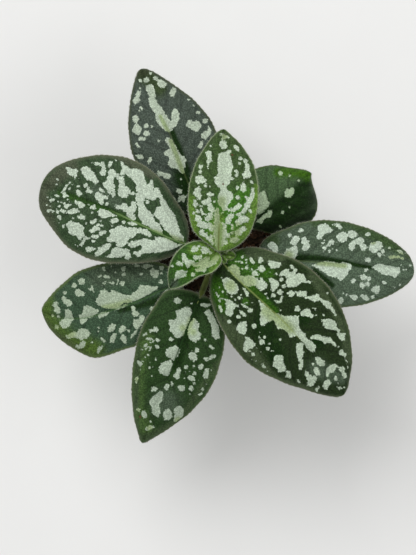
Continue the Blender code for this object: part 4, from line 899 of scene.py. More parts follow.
def marking_values(name, leaf, forward, sideways, draw):
    """The blotch distance and each shade's weight over the blade."""
    reading, text = BLOTCHES.get(name, (leaf.length / MM, ""))
    x = forward / leaf.length * reading
    y = sideways / MM
    marks = read_marks(text)
    marks += speckle_marks(name, marks, draw)
    values = {"blotch": pale_distance(x, y, marks)}
    for kind in SHADE_KINDS:
        values[kind] = shade_weight(x, y, read_marks(SHADES[name].get(kind, "")))
    return values


def blade_rows(leaf):
    """Evenly spread places along the blade and across it, as fine as the markings need."""
    rows = max(LEAST_ROWS, round(leaf.length / ROW_STEP))
    widest = max(leaf.left) - min(leaf.right)
    columns = 2 * max(LEAST_COLUMNS, round(widest / COLUMN_STEP / 2))
    s = np.linspace(0, 1, rows + 1)
    place = s + ROW_EVENING * np.sin(2 * np.pi * s) / (2 * np.pi)
    return np.meshgrid(place[1:-1], np.linspace(-1, 1, columns + 1), indexing="ij")


def vein_phase(forward, leaf, across):
    """Counts lateral veins up the blade: a vein runs wherever this is a whole number."""
    return (forward / leaf.length - VEIN_SWEEP * np.abs(across) ** VEIN_BEND) / VEIN_SPACING


def tooth_height(forward, reach, leaf):
    """How far the small uneven teeth stand out, which show only at the very margin."""
    beat = np.sin(TOOTH_BEAT * forward / TOOTH_LENGTH + leaf.phase)
    uneven = 1 - TOOTH_UNEVENNESS + TOOTH_UNEVENNESS * beat
    wave = np.abs(np.sin(np.pi * forward / TOOTH_LENGTH + leaf.phase))
    return TOOTH_HEIGHT * uneven * wave * reach ** TOOTH_POWER


def blade_arrays(name, leaf, draw):
    """Points of the upper and the lower face, and the surface values that the materials read."""
    place, across = blade_rows(leaf)
    forward, sideways, breadth = leaf.layout(place, across)
    reach = np.abs(across)
    sideways = sideways + np.sign(across) * tooth_height(forward, reach, leaf) * leaf.fullness
    phase = vein_phase(forward, leaf, across)
    swell = np.sin(np.pi * place)
    puff = VEIN_PUFF * (0.5 - 0.5 * np.cos(2 * np.pi * phase)) * (1 - reach ** PUFF_POWER) * swell
    off_rib = reach * breadth
    rise = np.minimum(1, RIB_GROOVE_RISE * swell)
    groove = RIB_GROOVE * np.exp(-(off_rib / RIB_GROOVE_WIDTH) ** 2) * rise
    middle = leaf.height(place, across) + (puff - groove) * leaf.fullness
    half = BLADE_THICKNESS / 2 * (1 - MARGIN_THINNING * reach ** THINNING_POWER)
    off_vein = np.abs(phase - np.round(phase)) * VEIN_SPACING * leaf.length * VEIN_SLANT
    values = marking_values(name, leaf, forward, sideways, draw)
    values["rim"] = (1 - reach) * breadth / MM
    values["rib"] = off_rib / MM
    values["vein"] = off_vein / MM
    values["along"] = forward / leaf.length
    upper = leaf.world(forward, sideways, middle + half)
    lower = leaf.world(forward, sideways, middle - half)
    return upper, lower, values


def sheet_faces(rows, columns, first, last, start):
    """Triangles at both ends and quads between them, for a grid from the vertex start on, and its border."""
    index = start + np.arange(rows * columns).reshape(rows, columns)
    faces = []
    for i in range(columns - 1):
        faces.append((first, index[0, i], index[0, i + 1]))
        faces.append((last, index[-1, i + 1], index[-1, i]))
    quads = np.stack([index[:-1, :-1], index[1:, :-1], index[1:, 1:], index[:-1, 1:]], axis=-1)
    faces.extend(map(tuple, quads.reshape(-1, 4).tolist()))
    border = [first, *index[:, -1].tolist(), last, *index[::-1, 0].tolist()]
    return faces, border


def ridge_path(leaf, radius):
    """Centres and radii of the ridge under the midrib, sunk far enough never to show in the groove above."""
    ridge = []
    end_radius = min(RIB_END_RADIUS, radius / 2)
    for i in range(RIB_STEPS + 1):
        along = RIB_START + (RIB_REACH - RIB_START) * i / RIB_STEPS
        thick = radius + (end_radius - radius) * i / RIB_STEPS
        depth = RIB_GROOVE * leaf.fullness * min(RIB_DEPTH, RIB_RISE * along, RIB_RISE * (1 - along))
        centre = leaf.middle_point(along) - Vector((0, 0, BLADE_THICKNESS / 2 + RIB_SINK * thick + depth))
        ridge.append((centre, thick))
    return ridge


def petiole_foot(row):
    """Where a petiole begins on the stem's side or in the crown, and which way it sets out."""
    if row["root"] is None:
        x, y = row["crown"]
        return Vector((x * MM, y * MM, STEM_TOP + GAP)), Vector((0, 0, 1))
    bearing, height = row["root"]
    angle = math.radians(bearing)
    leave = Vector((math.cos(angle), math.sin(angle), 0))
    return leave * (STEM_RADIUS + GAP) + Vector((0, 0, height * MM)), leave


def stalk_path(leaf, row, radius):
    """Centres and radii of the petiole and of the ridge that it runs into."""
    ridge = ridge_path(leaf, radius)
    joint = ridge[0][0]
    ahead = (ridge[1][0] - joint).normalized()
    start, leave = petiole_foot(row)
    pull = (joint - start).length * PETIOLE_PULL
    bends = [start, start + leave * pull, joint - ahead * pull, joint]
    petiole = []
    for i in range(PETIOLE_STEPS):
        f = i / PETIOLE_STEPS
        weights = ((1 - f) ** 3, 3 * f * (1 - f) ** 2, 3 * f ** 2 * (1 - f), f ** 3)
        centre = sum((bend * weight for bend, weight in zip(bends, weights)), Vector())
        petiole.append((centre, radius))
    return petiole + ridge


def tube(path, sides):
    """Vertices, quads and end fans of a round tube along a path."""
    points, faces = [], []
    for i, (centre, radius) in enumerate(path):
        before = path[max(i - 1, 0)][0]
        after = path[min(i + 1, len(path) - 1)][0]
        ahead = (after - before).normalized()
        steady = Vector((-ahead.y, ahead.x, 0))
        if steady.length < UPRIGHT_SLOPE:
            steady = Vector((1, 0, 0))
        aside = (steady - ahead * steady.dot(ahead)).normalized()
        up = ahead.cross(aside)
        for k in range(sides):
            turn = 2 * math.pi * k / sides
            points.append(centre + (aside * math.cos(turn) + up * math.sin(turn)) * radius)
    for i in range(len(path) - 1):
        for k in range(sides):
            j = (k + 1) % sides
            faces.append((i * sides + k, i * sides + j, (i + 1) * sides + j, (i + 1) * sides + k))
    points.extend((path[0][0], path[-1][0]))
    head, tail = len(points) - 2, len(points) - 1
    last = (len(path) - 1) * sides
    for k in range(sides):
        j = (k + 1) % sides
        faces.append((head, j, k))
        faces.append((tail, last + k, last + j))
    return points, faces


def write_uv(mesh, flat_points):
    """Give every corner its vertex's place in the texture layout."""
    corners = np.empty(len(mesh.loops), dtype=np.int64)
    mesh.loops.foreach_get("vertex_index", corners)
    layer = mesh.uv_layers.new(name="OFBake")
    layer.data.foreach_set("uv", np.asarray(flat_points[corners], dtype=np.float32).ravel())


def write_values(mesh, values, tail):
    """Store the blade's values on both faces, then plain ones on the four end points and on the stalk."""
    for key, grid in values.items():
        flat = grid.ravel()
        ends = {"blotch": [-FIELD_REACH] * 4, "along": [0, 1, 0, 1]}.get(key, [0] * 4)
        data = np.concatenate([flat, flat, ends, np.zeros(tail)])
        mesh.attributes.new(key, "FLOAT", "POINT").data.foreach_set("value", data.astype(np.float32))


def blade_uv(points, count, offset, leaf):
    """Flat layout of both faces' points, count each, of four end points, and of the stalk from offset on."""
    flat = points[:, :2] - leaf.base
    ahead = flat @ leaf.ahead
    aside = flat @ leaf.aside
    blade_ahead, blade_aside = ahead[:offset], aside[:offset]
    size = UV_SLACK * max(np.ptp(blade_ahead), UV_BREADTH * np.ptp(blade_aside))
    left, foot, width, height = UV_FACE
    u = left + width * (ahead - blade_ahead.min()) / size
    v = foot + height * (aside - blade_aside.min()) / size
    under = np.zeros(len(points), dtype=bool)
    under[count:2 * count] = True
    under[2 * count + 2:offset] = True
    u[under] += UV_UNDER_SHIFT
    left, foot, width, height = UV_STALK
    ring = np.arange(len(points) - offset)
    u[offset:] = left + width * (ring // TUBE_SIDES) * TUBE_SIDES / len(ring)
    v[offset:] = foot + height * (ring % TUBE_SIDES) / TUBE_SIDES
    return np.stack([u, v], axis=-1)


def leaf_faces(rows, columns, stalk_faces):
    """Faces of the upper side, of the under side with the margin, and of the stalk, as three lists."""
    count = rows * columns
    offset = 2 * count + 4
    top, top_border = sheet_faces(rows, columns, offset - 4, offset - 3, 0)
    bottom, bottom_border = sheet_faces(rows, columns, offset - 2, offset - 1, count)
    under = [face[::-1] for face in bottom]
    for i in range(len(top_border)):
        j = (i + 1) % len(top_border)
        under.append((top_border[i], bottom_border[i], bottom_border[j], top_border[j]))
    stalk = [tuple(corner + offset for corner in face) for face in stalk_faces]
    return top, under, stalk


Blade = namedtuple("Blade", "upper lower base tip path")


def make_leaf(name, row, phase, radius, materials, draw):
    """One blade with its petiole and midrib ridge, as one mesh with the values that its material reads."""
    leaf = Leaf(row, phase)
    upper, lower, values = blade_arrays(name, leaf, draw)
    base, tip = leaf.middle_point(0), leaf.middle_point(1)
    half = Vector((0, 0, BLADE_THICKNESS / 2))
    ends = [base + half, tip + half, base - half, tip - half]
    path = stalk_path(leaf, row, radius)
    tube_points, tube_faces = tube(path, TUBE_SIDES)
    skins = [upper.reshape(-1, 3), lower.reshape(-1, 3)]
    points = np.concatenate([*skins, np.array(ends), np.array(tube_points)])
    parts = leaf_faces(*upper.shape[:2], tube_faces)
    mesh = bpy.data.meshes.new(name)
    mesh.from_pydata(points.tolist(), [], [face for part in parts for face in part])
    for finish in materials:
        mesh.materials.append(finish)
    mesh.polygons.foreach_set("material_index", [slot for slot, part in enumerate(parts) for _ in part])
    write_values(mesh, values, len(tube_points))
    write_uv(mesh, blade_uv(points, len(skins[0]), len(points) - len(tube_points), leaf))
    made = add_piece(name + "_look", mesh, LEAF_CREASE)
    return made, Blade(upper, lower, np.array(base), np.array(tip), path)


def put_in_scene(name, data):
    """A new object in the scene, made from a mesh, a camera or a light."""
    made = bpy.data.objects.new(name, data)
    bpy.context.scene.collection.objects.link(made)
    return made


def add_piece(name, mesh, crease):
    """Put in a piece that is smooth up to the given angle."""
    mesh.shade_smooth()
    mesh.set_sharp_from_angle(angle=math.radians(crease))
    made = put_in_scene(name, mesh)
    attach(made, "root")
    return made


def unit(vectors):
    """The vectors at length 1."""
    return vectors / np.linalg.norm(vectors, axis=-1, keepdims=True)


def make_hairs(name, roots, tips, finish):
    """Three-sided needles from roots to tips, as one mesh.  Steep ones take their sides from another axis."""
    ahead = unit(tips - roots)
    steady = np.where(np.abs(ahead[:, 2:]) > STEEP, np.array([[1.0, 0, 0]]), np.array([[0, 0, 1.0]]))
    aside = unit(np.cross(ahead, steady))
    up = np.cross(ahead, aside)
    corners = []
    for k in range(3):
        turn = 2 * math.pi * k / 3
        corners.append(roots + (aside * math.cos(turn) + up * math.sin(turn)) * HAIR_RADIUS)
    points = np.stack([*corners, tips], axis=1).reshape(-1, 3)
    start = 4 * np.arange(len(roots))[:, None]
    faces = np.concatenate([start + np.array([[a, b, 3]]) for a, b in ((0, 1), (1, 2), (2, 0))])
    mesh = bpy.data.meshes.new(name)
    mesh.from_pydata(points.tolist(), [], faces.tolist())
    mesh.materials.append(finish)
    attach(put_in_scene(name, mesh), "root")


def skin_hairs(grid, outward, density, lengths, draw):
    """Roots and tips of hairs strewn evenly over a grid of points, on its upper side if outward is 1."""
    ahead = grid[1:, :-1] - grid[:-1, :-1]
    aside = grid[:-1, 1:] - grid[:-1, :-1]
    normal = np.cross(ahead, aside).reshape(-1, 3)
    area = np.linalg.norm(normal, axis=1)
    count = round(area.sum() / MM ** 2 * density)
    pick = draw.choice(len(area), count, p=area / area.sum())
    f, g = draw.random((2, count, 1))
    corners = grid[:-1, :-1].reshape(-1, 3)[pick]
    roots = corners + f * ahead.reshape(-1, 3)[pick] + g * aside.reshape(-1, 3)[pick]
    lean = unit(unit(normal[pick]) * outward + draw.normal(0, FACE_LEAN, (count, 3)))
    return roots, roots + lean * draw.uniform(*lengths, (count, 1))


def margin_hairs(blade, draw):
    """Roots and tips of the fringe round a blade."""
    middle = (blade.upper + blade.lower) / 2
    loop = np.concatenate([blade.base[None], middle[:, -1], blade.tip[None], middle[::-1, 0]])
    step = np.roll(loop, -1, axis=0) - loop
    length = np.linalg.norm(step, axis=1)
    count = round(length.sum() / MM * MARGIN_HAIRS)
    pick = draw.choice(len(loop), count, p=length / length.sum())
    travel = step[pick] / length[pick, None]
    out = np.stack([-travel[:, 1], travel[:, 0], np.zeros(count)], axis=1)
    roots = loop[pick] + step[pick] * draw.random((count, 1)) - out * HAIR_RADIUS * MARGIN_HAIR_DEPTH
    lean = unit(out + draw.normal(0, MARGIN_LEAN, (count, 3)))
    return roots, roots + lean * draw.uniform(*MARGIN_HAIR, (count, 1))


def stalk_hairs(path, density, draw):
    """Roots and tips of hairs round a stalk."""
    centres = np.array([centre for centre, _ in path])
    radii = np.array([radius for _, radius in path])
    step = centres[1:] - centres[:-1]
    length = np.linalg.norm(step, axis=1)
    skin = 2 * math.pi * radii[:-1] * length
    count = round(skin.sum() / MM ** 2 * density)
    pick = draw.choice(len(step), count, p=skin / skin.sum())
    ahead = step[pick] / length[pick, None]
    out = draw.normal(0, 1, (count, 3))
    out = unit(out - ahead * (out * ahead).sum(axis=1, keepdims=True))
    middles = centres[pick] + step[pick] * draw.random((count, 1))
    roots = middles + out * radii[pick, None] * STALK_HAIR_SEAT
    lean = unit(out + draw.normal(0, STALK_LEAN, (count, 3)))
    return roots, roots + lean * draw.uniform(*STALK_HAIR, (count, 1))


def strew(name, tufts, finish):
    """One object from several sets of hairs."""
    roots = np.concatenate([tuft[0] for tuft in tufts])
    tips = np.concatenate([tuft[1] for tuft in tufts])
    make_hairs(name, roots, tips, finish)


class Nodes:
    """A short way to build a material's node tree."""

    def __init__(self, name):
        self.material = bpy.data.materials.new(name)
        self.material.use_nodes = True
        self.tree = self.material.node_tree
        self.shader = self.tree.nodes["Principled BSDF"]

    def add(self, kind, **settings):
        node = self.tree.nodes.new(kind)
        for key, value in settings.items():
            setattr(node, key, value)
        return node

    def link(self, source, target):
        self.tree.links.new(source, target)

    def value(self, socket, value):
        """Link a socket to a node's output, or set it to a number or a colour."""
        if isinstance(value, bpy.types.NodeSocket):
            self.link(value, socket)
        elif isinstance(value, tuple):
            socket.default_value = (*value, 1)
        else:
            socket.default_value = value

    def attribute(self, name):
        """A value that the mesh carries under this name."""
        node = self.add("ShaderNodeAttribute", attribute_type="GEOMETRY", attribute_name=name)
        return node.outputs["Fac"]

    def math(self, operation, a, b=0.0, c=0.0):
        node = self.add("ShaderNodeMath", operation=operation)
        for socket, value in zip(node.inputs, (a, b, c)):
            self.value(socket, value)
        return node.outputs[0]

    def ramp(self, value, low, high):
        """0 at low and 1 at high, smoothly between."""
        node = self.add("ShaderNodeMapRange", interpolation_type="SMOOTHSTEP")
        for key, entry in (("Value", value), ("From Min", low), ("From Max", high)):
            self.value(node.inputs[key], entry)
        return node.outputs["Result"]

    def wander(self, value, texture, amount):
        """The value moved up and down by a texture that lies around 0.5."""
        return self.math("MULTIPLY_ADD", self.math("SUBTRACT", texture, 0.5), amount, value)

    def mix(self, factor, a, b, blend="MIX"):
        node = self.add("ShaderNodeMix", data_type="RGBA", blend_type=blend)
        self.value(node.inputs["Factor"], factor)
        self.value(node.inputs[6], a)
        self.value(node.inputs[7], b)
        return node.outputs[2]

    def dim(self, factor, colour, level):
        """The colour multiplied by level where factor is 1."""
        return self.mix(factor, colour, (level,) * 3, "MULTIPLY")

    def share(self, factor, part):
        """A part of the factor."""
        return self.math("MULTIPLY", factor, part)

    def coordinates(self):
        return self.add("ShaderNodeTexCoord").outputs["Object"]

    def noise(self, where, size, detail=2.0, roughness=0.5):
        """Noise about 0.5 whose features are about size metres across."""
        node = self.add("ShaderNodeTexNoise")
        self.link(where, node.inputs["Vector"])
        node.inputs["Scale"].default_value = 1 / size
        node.inputs["Detail"].default_value = detail
        node.inputs["Roughness"].default_value = roughness
        return node.outputs["Fac"]

    def cells(self, where, size):
        """Distance to the middle of the nearest cell, and a random value for each cell."""
        node = self.add("ShaderNodeTexVoronoi", feature="F1")
        self.link(where, node.inputs["Vector"])
        node.inputs["Scale"].default_value = 1 / size
        parts = self.add("ShaderNodeSeparateColor")
        self.link(node.outputs["Color"], parts.inputs[0])
        return node.outputs["Distance"], parts.outputs[0]

    def bump(self, height, strength, distance):
        """Relief of the surface."""
        node = self.add("ShaderNodeBump")
        self.link(height, node.inputs["Height"])
        node.inputs["Strength"].default_value = strength
        node.inputs["Distance"].default_value = distance
        self.link(node.outputs["Normal"], self.shader.inputs["Normal"])

    def paint(self, colour):
        """Give the surface its colour, and return the finished material."""
        self.link(colour, self.shader.inputs["Base Color"])
        return self.material

    def set(self, **values):
        """Constants on the shader's own sockets."""
        for key, value in values.items():
            self.shader.inputs[key.replace("_", " ")].default_value = value


def patch(n, key, broad):
    """How much of a leaf's shade shows, with a wandering edge."""
    return n.ramp(n.wander(n.attribute(key), broad, PATCH_WANDER), *PATCH_FADE)


def green_colour(n, tones, broad, off_middle):
    """The green between the blotches: veiled, with the leaf's shades, its veins and its pebbled grain."""
    colour = tones.veiled
    # The shades are mixed in turn; the dark green is partly painted shadow, and the greyish one is a painted
    # sheen
    shades = ("deep_and_shade", DEEP_GREEN_AND_SHADE), ("fresh", tones.fresh), ("lime", LIME), ("painted_sheen", PAINTED_SHEEN), ("edge", tones.border)
    for key, shade in shades:
        colour = n.mix(patch(n, key, broad), colour, shade)
    colour = n.dim(n.share(n.ramp(n.attribute("vein"), *VEIN_LINE), VEIN_SHOWS), colour, VEIN_LEVEL)
    middle_level, gap_level = GREEN_LEVELS
    colour = n.dim(n.ramp(off_middle, *GREEN_PEBBLE), n.dim(1, colour, middle_level), gap_level)
    wandering = n.wander(n.attribute("rim"), broad, BAND_WANDER * tones.band)
    band = n.ramp(wandering, tones.band, BAND_FULL * tones.band)
    band = n.share(band, n.ramp(n.attribute("lime"), *LIME_CLEARS_BAND))
    return n.mix(n.share(band, BAND_SHOWS), colour, tones.border)


def pale_colour(n, tones, broad, off_middle, chance):
    """The blotches' greyish white, yellower by the midrib, in tiny pebbles of unlike brightness."""
    colour = n.mix(patch(n, "tint", broad), tones.pale, PALE_TINT)
    colour = n.dim(n.ramp(chance, *DULL_CHANCE), colour, DULL_LEVEL)
    return n.dim(n.ramp(off_middle, *PALE_PEBBLE), colour, PALE_LEVEL)


def leaf_face_material(name, tones):
    """Velvety upper face with ragged pale blotches, a midrib line, a soft border and a hairy rim."""
    n = Nodes(name + "_face")
    where = n.coordinates()
    broad = n.noise(where, PATCH_SIZE, 2, 0.5)
    fine = n.noise(where, RAG_SIZE, 3, 0.6)
    grain = n.noise(where, GRAIN_SIZE, 2, 0.6)
    off_middle, chance = n.cells(where, PEBBLE_SIZE)
    edge = n.wander(n.wander(n.attribute("blotch"), fine, EDGE_RAG), chance, EDGE_PEBBLE)
    edge = n.wander(edge, grain, EDGE_GRAIN)
    pale = n.ramp(edge, -EDGE_SOFTNESS - tones.grow, EDGE_SOFTNESS - tones.grow)
    green = green_colour(n, tones, broad, off_middle)
    colour = n.mix(pale, green, pale_colour(n, tones, broad, off_middle, chance))
    colour = n.mix(n.share(patch(n, "wash", broad), WASH_SHOWS), colour, WASH)
    line = n.ramp(n.wander(n.attribute("rib"), fine, RIB_WANDER), *RIB_LINE)
    line = n.share(line, n.ramp(n.attribute("along"), tones.reach, tones.reach - RIB_FADE))
    colour = n.mix(n.share(line, tones.strength), colour, tones.rib)
    colour = n.mix(n.ramp(n.attribute("scar"), *SCAR_FADE), colour, SCAR)
    colour = n.dim(n.ramp(grain, *DARK_GRAIN), colour, GRAIN_LEVEL)
    rim = n.ramp(n.wander(n.attribute("rim"), grain, RIM_WANDER), *RIM_LINE)
    colour = n.mix(n.share(rim, RIM_SHOWS), colour, tones.rim)
    n.set(Roughness=0.6, Specular_IOR_Level=0.07, Sheen_Weight=0.02, Sheen_Roughness=0.5)
    n.bump(n.math("MULTIPLY_ADD", grain, 0.5, off_middle), 0.3, 0.1 * MM)
    return n.paint(colour)


def leaf_under_material():
    """Pale matt underside with lighter veins."""
    n = Nodes("leaf_underside")
    where = n.coordinates()
    veins = n.ramp(n.attribute("vein"), *UNDER_VEIN_LINE)
    lines = n.math("MAXIMUM", veins, n.ramp(n.attribute("rib"), *UNDER_RIB_LINE))
    base = n.mix(n.noise(where, UNDER_SIZE, 3, 0.6), UNDERSIDE, UNDERSIDE_DARK)
    colour = n.mix(lines, base, UNDER_VEIN)
    colour = n.mix(n.ramp(n.attribute("rim"), *UNDER_RIM_LINE), colour, UNDER_RIM)
    n.set(Roughness=0.75, Specular_IOR_Level=0.2, Sheen_Weight=0.08, Sheen_Roughness=0.5)
    n.bump(n.cells(where, UNDER_PEBBLE_SIZE)[0], 0.4, 0.1 * MM)
    return n.paint(colour)


def stalk_material(name, dark, light):
    """Fleshy stalk, mottled along its length."""
    n = Nodes(name)
    where = n.coordinates()
    colour = n.mix(n.ramp(n.noise(where, STALK_MOTTLE_SIZE, 3, 0.6), 0.3, 0.7), dark, light)
    n.set(Roughness=0.5, Specular_IOR_Level=0.3, Sheen_Weight=0.08, Sheen_Roughness=0.5)
    n.bump(n.noise(where, STALK_PEBBLE_SIZE, 2, 0.5), 0.4, 0.1 * MM)
    return n.paint(colour)


def mottled_material(name, dark, light, size, roughness, specular, relief=0.01 * MM):
    """A matt surface that varies between two colours over features of the given size."""
    n = Nodes(name)
    where = n.coordinates()
    texture = n.noise(where, size, 4, 0.65)
    n.set(Roughness=roughness, Specular_IOR_Level=specular)
    n.bump(texture, 0.5, relief)
    return n.paint(n.mix(n.ramp(texture, 0.35, 0.65), dark, light))


def plastic_material():
    """Satin black plastic, a little dusty, with the faint waves of its mould."""
    n = Nodes("pot_plastic")
    where = n.coordinates()
    dust = n.ramp(n.noise(where, DUST_SIZE, 4, 0.7), 0.45, 0.8)
    n.set(Roughness=0.42, Specular_IOR_Level=0.45)
    n.bump(n.noise(where, MOULD_WAVE_SIZE, 2, 0.5), 0.12, 0.1 * MM)
    return n.paint(n.mix(dust, PLASTIC, DUSTY_PLASTIC))


def pot_inner_radius(height):
    """Radius of the pot's inside at a height above the ground."""
    return POT_FOOT_RADIUS - POT_WALL + (POT_MOUTH_RADIUS - POT_FOOT_RADIUS) * height / POT_HEIGHT


def circle(radius, sides):
    """Evenly spread points of a circle round the axis."""
    turns = [2 * math.pi * i / sides for i in range(sides)]
    return [(radius * math.cos(turn), radius * math.sin(turn)) for turn in turns]


def join_loops(shape, loops):
    """Faces between each loop of vertices and the next."""
    for lower, upper in zip(loops, loops[1:]):
        for i in range(len(lower)):
            j = (i + 1) % len(lower)
            shape.faces.new((lower[i], lower[j], upper[j], upper[i]))


def softened(profile, cut, steps):
    """The profile with its corners rounded off over the distance cut to both sides."""
    soft = [profile[0]]
    for before, corner, after in zip(profile, profile[1:], profile[2:]):
        start = corner + (before - corner).normalized() * cut
        end = corner + (after - corner).normalized() * cut
        for i in range(steps + 1):
            f = i / steps
            soft.append(start * (1 - f) ** 2 + corner * 2 * f * (1 - f) + end * f ** 2)
    return soft + [profile[-1]]


def turned_mesh(name, profile, sides):
    """A closed mesh turned from a profile of radius and height, which starts and ends on the axis."""
    shape = bmesh.new()
    loops = [
        [shape.verts.new((x, y, height)) for x, y in circle(radius, sides)]
        for radius, height in profile[1:-1]]
    join_loops(shape, loops)
    for (_, height), loop in ((profile[0], loops[0]), (profile[-1], loops[-1])):
        centre = shape.verts.new((0, 0, height))
        for i in range(sides):
            shape.faces.new((centre, loop[i], loop[(i + 1) % sides]))
    return finished_mesh(name, shape)


def finished_mesh(name, shape):
    """Turn a bmesh into a mesh whose faces point out."""
    bmesh.ops.recalc_face_normals(shape, faces=shape.faces)
    mesh = bpy.data.meshes.new(name)
    shape.to_mesh(mesh)
    shape.free()
    return mesh


def drill_holes(pot):
    """Cut the drainage holes through the pot's floor."""
    shape = bmesh.new()
    for i in range(DRAIN_HOLES):
        angle = 2 * math.pi * (i + 0.5) / DRAIN_HOLES
        place = Matrix.Translation((DRAIN_CIRCLE * math.cos(angle), DRAIN_CIRCLE * math.sin(angle), 0))
        bmesh.ops.create_cone(
            shape, cap_ends=True, segments=DRAIN_SIDES, radius1=DRAIN_RADIUS, radius2=DRAIN_RADIUS,
            depth=4 * POT_FLOOR, matrix=place)
    cutter = put_in_scene("cutter", finished_mesh("cutter", shape))
    cut = pot.modifiers.new("holes", "BOOLEAN")
    cut.operation = "DIFFERENCE"
    cut.solver = "EXACT"
    cut.object = cutter
    bpy.context.view_layer.objects.active = pot
    bpy.ops.object.modifier_apply(modifier=cut.name)
    bpy.data.objects.remove(cutter)


def make_pot():
    """Tapered pot with a stepped rim band, as its profile from the axis out, up, in and down again."""
    band_foot = POT_HEIGHT - RIM_BAND_HEIGHT
    band_radius = pot_inner_radius(band_foot) + POT_WALL
    profile = [
        (0, 0),
        (POT_FOOT_RADIUS - FOOT_CHAMFER, 0),
        (POT_FOOT_RADIUS, FOOT_CHAMFER),
        (band_radius, band_foot),
        (band_radius + RIM_BAND_STEP, band_foot + LIP),
        (POT_MOUTH_RADIUS + RIM_BAND_STEP, POT_HEIGHT - LIP),
        (POT_MOUTH_RADIUS + RIM_BAND_STEP - LIP, POT_HEIGHT),
        (POT_MOUTH_RADIUS - POT_WALL + LIP, POT_HEIGHT),
        (pot_inner_radius(POT_HEIGHT), POT_HEIGHT - LIP),
        (pot_inner_radius(POT_FLOOR), POT_FLOOR),
        (0, POT_FLOOR),
    ]
    soft = softened([Vector(point) for point in profile], CORNER_CUT, CORNER_STEPS)
    mesh = turned_mesh("pot", soft, POT_SIDES)
    mesh.materials.append(plastic_material())
    pot = add_piece("pot_look", mesh, POT_CREASE)
    drill_holes(pot)
    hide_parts("pot")


def soil_height(x, y, edge):
    """Height of the crumbly top of the mix, level at its edge."""
    spot = Vector((x, y, 0))
    rough = sum(share * noise.noise(spot / size) for share, size in SOIL_LUMPS)
    return SOIL_LEVEL + SOIL_RELIEF * rough * min(1, (edge - math.hypot(x, y)) / SOIL_FADE)


def soil_rings():
    """Rings of points from the foot of the stem's hole, over the top of the mix, to the foot of the plug."""
    hole = STEM_RADIUS + STEM_NODE_SWELL + GAP
    edge = pot_inner_radius(SOIL_LEVEL) - GAP
    foot = POT_FLOOR + GAP
    rings = [[(x, y, STEM_FOOT - GAP) for x, y in circle(hole, SOIL_SIDES)]]
    for i in range(SOIL_RINGS + 1):
        radius = hole + (edge - hole) * i / SOIL_RINGS
        rings.append([(x, y, soil_height(x, y, edge)) for x, y in circle(radius, SOIL_SIDES)])
    rings.append([(x, y, foot) for x, y in circle(pot_inner_radius(foot) - GAP, SOIL_SIDES)])
    return rings


def add_lump(shape, centre, size, stretch, finish, draw):
    """An angular bit of bark or perlite, turned at random."""
    angle = draw.uniform(0, math.pi)
    axis = Vector([draw.uniform(-1, 1) for _ in range(3)]).normalized()
    turn = Matrix.Rotation(angle, 4, axis)
    scale = Matrix.Diagonal((size, size * stretch[0], size * stretch[1], 1))
    place = Matrix.Translation(centre) @ turn @ scale
    made = bmesh.ops.create_icosphere(shape, subdivisions=2, radius=1)["verts"]
    for vertex in made:
        vertex.co *= draw.uniform(*LUMP_ROUGHNESS)
        vertex.co = place @ vertex.co
        for face in vertex.link_faces:
            face.material_index = finish


def add_lumps(shape):
    """Bark chips and a few white perlite bits, half sunk in the mix."""
    draw = random.Random(CHIP_SEED)
    hole = STEM_RADIUS + STEM_NODE_SWELL + GAP
    edge = pot_inner_radius(SOIL_LEVEL)
    for i in range(CHIPS + PERLITE_BITS):
        is_chip = i < CHIPS
        size = draw.uniform(*(CHIP_SIZES if is_chip else PERLITE_SIZES)) * MM
        stretch = [draw.uniform(*span) for span in CHIP_STRETCH] if is_chip else PERLITE_STRETCH
        radius = math.sqrt(draw.uniform((hole + size) ** 2, (edge - size - GAP) ** 2))
        angle = draw.uniform(0, 2 * math.pi)
        x, y = radius * math.cos(angle), radius * math.sin(angle)
        height = soil_height(x, y, edge) + size * draw.uniform(0, LUMP_LIFT)
        add_lump(shape, (x, y, height), size, stretch, 1 if is_chip else 2, draw)


def make_soil():
    """The plug of mix with its bits, each in its own colours."""
    shape = bmesh.new()
    loops = [[shape.verts.new(point) for point in ring] for ring in soil_rings()]
    join_loops(shape, loops)
    shape.faces.new(loops[0][::-1])
    shape.faces.new(loops[-1])
    add_lumps(shape)
    mesh = finished_mesh("soil", shape)
    for finish in (
            mottled_material("mix", MIX_DARK, MIX_LIGHT, 1.2 * MM, 0.95, 0.15, 0.4 * MM),
            mottled_material("bark", BARK_DARK, BARK_LIGHT, 0.9 * MM, 0.85, 0.2, 0.2 * MM),
            mottled_material("perlite", PERLITE_DARK, PERLITE_LIGHT, 0.5 * MM, 0.9, 0.2, 0.1 * MM)):
        mesh.materials.append(finish)
    soil = add_piece("soil_look", mesh, SOIL_CREASE)
    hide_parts("soil")


def stem_path():
    """Centres and radii of the stem, which swells a little at each node and ends in a dome."""
    slim = STEM_RADIUS - STEM_NODE_SWELL
    dome_foot = STEM_TOP - slim / 2
    path = []
    for i in range(STEM_STEPS + 1):
        height = STEM_FOOT + (dome_foot - STEM_FOOT) * i / STEM_STEPS
        swell = STEM_NODE_SWELL * max(0, math.cos(2 * math.pi * height / STEM_NODE_SPACING))
        path.append((Vector((0, 0, height)), slim + swell))
    for i in range(1, STEM_DOME_STEPS):
        rise = math.pi / 2 * i / STEM_DOME_STEPS
        height = dome_foot + (STEM_TOP - dome_foot) * math.sin(rise)
        path.append((Vector((0, 0, height)), slim * math.cos(rise)))
    path.append((Vector((0, 0, STEM_TOP)), STEM_END_RADIUS))
    return path


def make_stem(finish):
    """The stem as a piece.  Returns the part of its path that stands clear of the mix."""
    path = stem_path()
    points, faces = tube(path, STEM_SIDES)
    mesh = bpy.data.meshes.new("stem")
    mesh.from_pydata([tuple(point) for point in points], [], faces)
    mesh.materials.append(finish)
    stem = add_piece("stem_look", mesh, STEM_CREASE)
    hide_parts("stem")
    return [(centre, radius) for centre, radius in path if centre.z > SOIL_LEVEL + SOIL_RELIEF]


